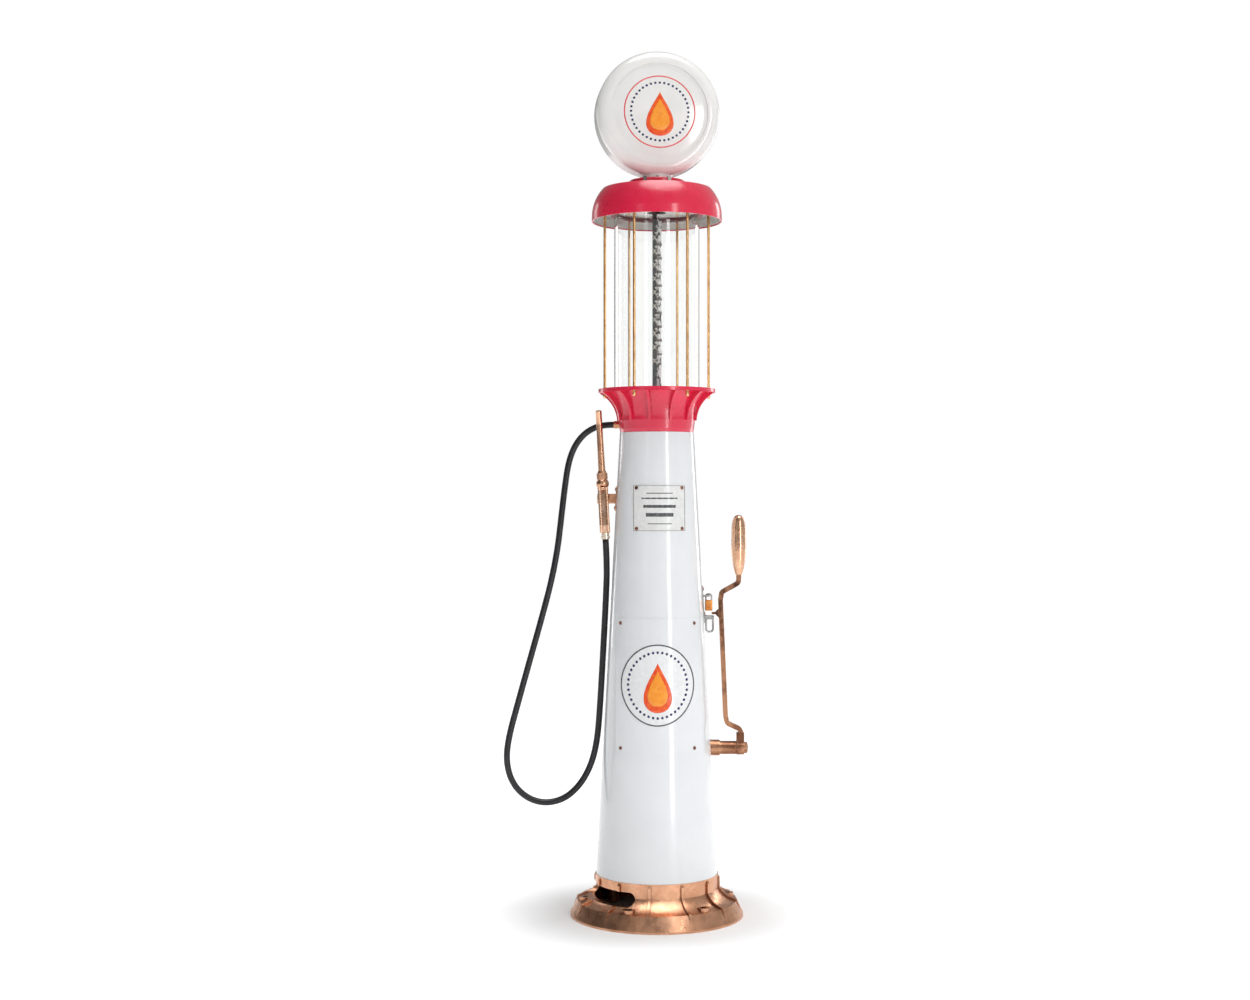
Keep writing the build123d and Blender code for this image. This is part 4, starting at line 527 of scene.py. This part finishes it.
def inlay(name, shapes, place, material, proud=inlay_proud):
    """Thin raised enamel. A shape is a closed outline, its middle, how far in it starts and its rings."""
    vertices, faces = [], []
    for outline, middle, inner, rings in shapes:
        count = len(outline)
        first = len(vertices)
        for lift in (proud, -inlay_sunk):
            for k in range(rings + 1):
                share = inner + (1 - inner) * k / rings
                for across, up in outline:
                    x = middle[0] + (across - middle[0]) * share
                    z = middle[1] + (up - middle[1]) * share
                    vertices.append(place(x, z, lift))
        back = first + (rings + 1) * count
        for k in range(rings):
            for j in range(count):
                a, b = k * count + j, k * count + (j + 1) % count
                faces.append((first + a, first + b, first + b + count, first + a + count))
                faces.append((back + a, back + a + count, back + b + count, back + b))
        for j in range(count):
            a, b = j, (j + 1) % count
            outer = rings * count
            faces.append((first + outer + a, first + outer + b, back + outer + b, back + outer + a))
            faces.append((first + a, back + a, back + b, first + b))
    piece = piece_from(name, vertices, faces, material, "stand")
    return piece


def circle(radius, count=120, middle=(0, 0)):
    steps = [2 * pi * j / count for j in range(count)]
    return [(middle[0] + radius * sin(t), middle[1] + radius * cos(t)) for t in steps]


def ring(outer, inner, rings=2):
    return circle(outer), (0, 0), inner / outer, rings


def drop(height, width, middle, scale=1.0, count=96):
    """The outline of a drop of fuel, point up, shrunk about its middle by scale."""
    outline = []
    for j in range(count):
        t = 2 * pi * (j + 0.5) / count
        across = scale * width / 2 * 1.3 * sin(t) * abs(sin(t / 2)) ** 1.5
        up = middle[1] + scale * height / 2 * cos(t)
        outline.append((middle[0] + across, up))
    return outline


def beads(count, circle_r, bead_r):
    """Small round beads in a circle."""
    places = [(circle_r * sin(2 * pi * k / count), circle_r * cos(2 * pi * k / count)) for k in range(count)]
    return [(circle(bead_r, 20, middle), middle, 0.02, 2) for middle in places]


def emblem(prefix, place, radius, ring_look, bead_count):
    """A fuel drop inside a circle of beads, with a thin ring round it."""
    low = (0, -0.06 * radius)
    inlay(f"{prefix}_ring", [ring(radius, 0.965 * radius)], place, looks[ring_look])
    inlay(f"{prefix}_beads", beads(bead_count, 0.80 * radius, 0.034 * radius), place, looks["navy"])
    body = drop(1.22 * radius, 0.84 * radius, low)
    heart = drop(1.22 * radius, 0.84 * radius, (0, low[1] - 0.02 * radius), 0.72)
    inlay(f"{prefix}_drop", [(body, low, 0.60, 5)], place, looks["orange_red"])
    inlay(f"{prefix}_drop_heart", [(heart, low, 0.02, 8)], place, looks["orange"], proud=2 * inlay_proud)


def middle_of(node):
    """The middle of a CAD node's box, and half its size."""
    low, high = (Vector(corner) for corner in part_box(node))
    return (low + high) / 2, (high - low) / 2


emblem_middle, emblem_half = middle_of("column_emblem")
emblem_squeeze = emblem_half.x / emblem_half.z
emblem_axis = Vector((0, 0, emblem_middle.z))
emblem_place = seen_from(tree_of("column_emblem"), emblem_axis, 0, emblem_squeeze)
emblem("column", emblem_place, emblem_fill * emblem_half.z, "ring_grey", emblem_beads)

globe_middle, _ = middle_of("globe_body")
lens_middle, _ = middle_of("globe_lens_front")
globe_axis = Vector((globe_middle.x, globe_middle.y, lens_middle.z))
for side, turn in (("front", globe_turn), ("rear", globe_turn + 180)):
    lens_place = seen_from(tree_of(f"globe_lens_{side}"), globe_axis, turn)
    emblem(f"globe_{side}", lens_place, globe_ring_r, "ring_red", emblem_beads)


def bar_outline(left, right, low, high, corner, steps=5):
    """A rectangle with rounded corners, as a closed outline."""
    corners = ((right, high, 0), (right, low, 1), (left, low, 2), (left, high, 3))
    outline = []
    for x, z, quarter in corners:
        sign_x, sign_z = (1 if x == right else -1), (1 if z == high else -1)
        for k in range(steps + 1):
            turn = pi / 2 * (quarter + k / steps)
            middle_x, middle_z = x - sign_x * corner, z - sign_z * corner
            outline.append((middle_x + corner * sin(turn), middle_z + corner * cos(turn)))
    return outline


plate_middle, plate_half = middle_of("name_plate")
plate_place = seen_from(tree_of("name_plate"), Vector((0, 0, plate_middle.z)), plate_bearing)
rule_rows = [  # height on the plate, half length and half thickness
    (0.050, 0.044, 0.0016),
    (0.033, 0.060, 0.0026),
    (0.006, 0.054, 0.0050),
    (-0.022, 0.046, 0.0062),
    (-0.052, 0.040, 0.0014),
]
rule_corner = 0.0004
border_corner = 0.0002
border_inset = 0.004
rules = []
for up, half, thick in rule_rows:
    for start in range(6):
        left = -half + start * half / 3
        right = left + half / 3
        outline = bar_outline(left, right, up - thick, up + thick, rule_corner)
        rules.append((outline, ((left + right) / 2, up), 0.02, 1))
inlay("plate_rules", rules, plate_place, looks["ink"])
edge_x, edge_z = plate_half.x - border_inset, plate_half.z - border_inset
edge_w = 0.0007
border = []
for k in range(12):
    left = -edge_x + k * edge_x / 6
    right = left + edge_x / 6
    for up in (-edge_z, edge_z):
        outline = bar_outline(left, right, up - edge_w, up + edge_w, border_corner)
        border.append((outline, ((left + right) / 2, up), 0.02, 1))
for side in (-1, 1):
    across = side * edge_x
    for k in range(6):
        low = -edge_z + k * edge_z / 3
        high = low + edge_z / 3
        outline = bar_outline(across - edge_w, across + edge_w, low, high, border_corner)
        border.append((outline, (across, (low + high) / 2), 0.02, 1))
inlay("plate_border", border, plate_place, looks["ink"])


# ---- pale arrowheads down the right edge of the gauge strip ----
arrow_pitch = 0.0233
arrow_half_height = 0.0052
arrow_tips = (0.0025, -0.0005)  # across the strip, in turn
arrows_left_out = (2, 6)  # pitches with no arrowhead at the top and at the foot
strip_middle, strip_half = middle_of("gauge_strip")
strip_place = seen_from(tree_of("gauge_strip"), Vector((strip_middle.x, 0, strip_middle.z)), 0)
marks = []
for k in range(arrows_left_out[0], int(2 * strip_half.z / arrow_pitch) - arrows_left_out[1]):
    up = strip_half.z - k * arrow_pitch
    tip = arrow_tips[k % 2]
    edge = strip_half.x - 0.0004
    middle = ((tip + 2 * edge) / 3, up)
    corners = [(tip, up), (edge, up + arrow_half_height), (edge, up - arrow_half_height)]
    marks.append((corners, middle, 0.05, 1))
inlay("gauge_arrows", marks, strip_place, looks["gauge_cream"])


# ======================= floor and light =======================


def stage_look():
    look = Look("studio_floor", Roughness=0.9, Emission_Color=(1, 1, 1, 1))
    distance = look.nodes.new("ShaderNodeVectorMath")
    distance.operation = "LENGTH"
    look.links.new(look.where, distance.inputs[0])
    # painted shadow: the floor's glow is held off within 0.3 m of the middle and fades in out to 0.7 m,
    # leaving a darker pool round the stand's foot and keeping the base's slot dark
    glow = look.level(distance.outputs["Value"], 0, 0.42, 0.30, 0.70)
    look.links.new(glow, look.shader.inputs["Emission Strength"])
    look.colour(look.mix(look.level(look.noise(1.5, detail=3), 0, 1), (0.86, 0.86, 0.86), (0.84, 0.84, 0.84)))
    look.bump(look.noise(0.01, detail=2), 0.0002)
    return look.material


def floor_disc(radius, count=96):
    """A round floor, fine enough to shade smoothly."""
    vertices = [Vector((0, 0, 0))]
    turns = [2 * pi * k / count for k in range(count)]
    vertices += [Vector((radius * cos(turn), radius * sin(turn), 0)) for turn in turns]
    faces = [(0, k + 1, (k + 1) % count + 1) for k in range(count)]
    return vertices, faces


floor = piece_from("studio_floor", *floor_disc(30.0), stage_look())
floor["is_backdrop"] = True


def soft_box(name, place, aim, width, height, power, colour=(1, 1, 1)):
    """A rectangular studio light at a place, turned towards a point."""
    lamp = bpy.data.lights.new(name, "AREA")
    lamp.shape = "RECTANGLE"
    lamp.size, lamp.size_y = width, height
    lamp.energy = power
    lamp.color = colour
    box = bpy.data.objects.new(name, lamp)
    bpy.context.scene.collection.objects.link(box)
    box.location = place
    box.rotation_euler = (Vector(aim) - Vector(place)).to_track_quat("-Z", "Y").to_euler()


soft_box("key_right", (2.2, -3.8, 1.9), (0, 0, 1.5), 0.6, 3.8, 42)
soft_box("front_left", (-2.4, -4.2, 2.6), (0, 0, 1.4), 0.8, 2.6, 5)
soft_box("top", (0.3, -0.4, 5.4), (0, 0, 1.6), 2.2, 1.8, 28)
soft_box("rear_left", (-2.8, 3.0, 2.2), (0, 0, 1.5), 0.8, 3.0, 16)
soft_box("rear_right", (2.8, 3.0, 2.2), (0, 0, 1.5), 0.8, 3.0, 26)

overhead = bpy.data.lights.new("overhead", "SUN")
overhead.energy = 1.5
overhead.angle = radians(50)
overhead_lamp = bpy.data.objects.new("overhead", overhead)
bpy.context.scene.collection.objects.link(overhead_lamp)
overhead_lamp.rotation_euler = (radians(8), radians(6), 0)

world = bpy.data.worlds.new("studio")
bpy.context.scene.world = world
world.use_nodes = True
nodes, links = world.node_tree.nodes, world.node_tree.links
direction = nodes.new("ShaderNodeTexCoord").outputs["Generated"]
split = nodes.new("ShaderNodeSeparateXYZ")
links.new(direction, split.inputs["Vector"])
sideways = nodes.new("ShaderNodeMapRange")
sideways.inputs["From Min"].default_value = -0.9
sideways.inputs["From Max"].default_value = 0.7
sideways.inputs["To Min"].default_value = 0.10
sideways.inputs["To Max"].default_value = 0.46
links.new(split.outputs["X"], sideways.inputs["Value"])
rays = nodes.new("ShaderNodeLightPath")
seen = nodes.new("ShaderNodeMath")
seen.operation = "MAXIMUM"
links.new(rays.outputs["Is Camera Ray"], seen.inputs[0])
links.new(rays.outputs["Is Transmission Ray"], seen.inputs[1])
backdrop = nodes.new("ShaderNodeMath")
backdrop.operation = "MAXIMUM"
links.new(sideways.outputs["Result"], backdrop.inputs[0])
links.new(seen.outputs["Value"], backdrop.inputs[1])
links.new(backdrop.outputs["Value"], nodes["Background"].inputs["Strength"])
nodes["Background"].inputs["Color"].default_value = (1, 1, 1, 1)
bpy.context.scene.view_settings.view_transform = "Standard"

visual_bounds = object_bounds()
sizes = {"cad": cad_bounds, "visual": visual_bounds}
{name: [list(corner) for corner in box] for name, box in sizes.items()}
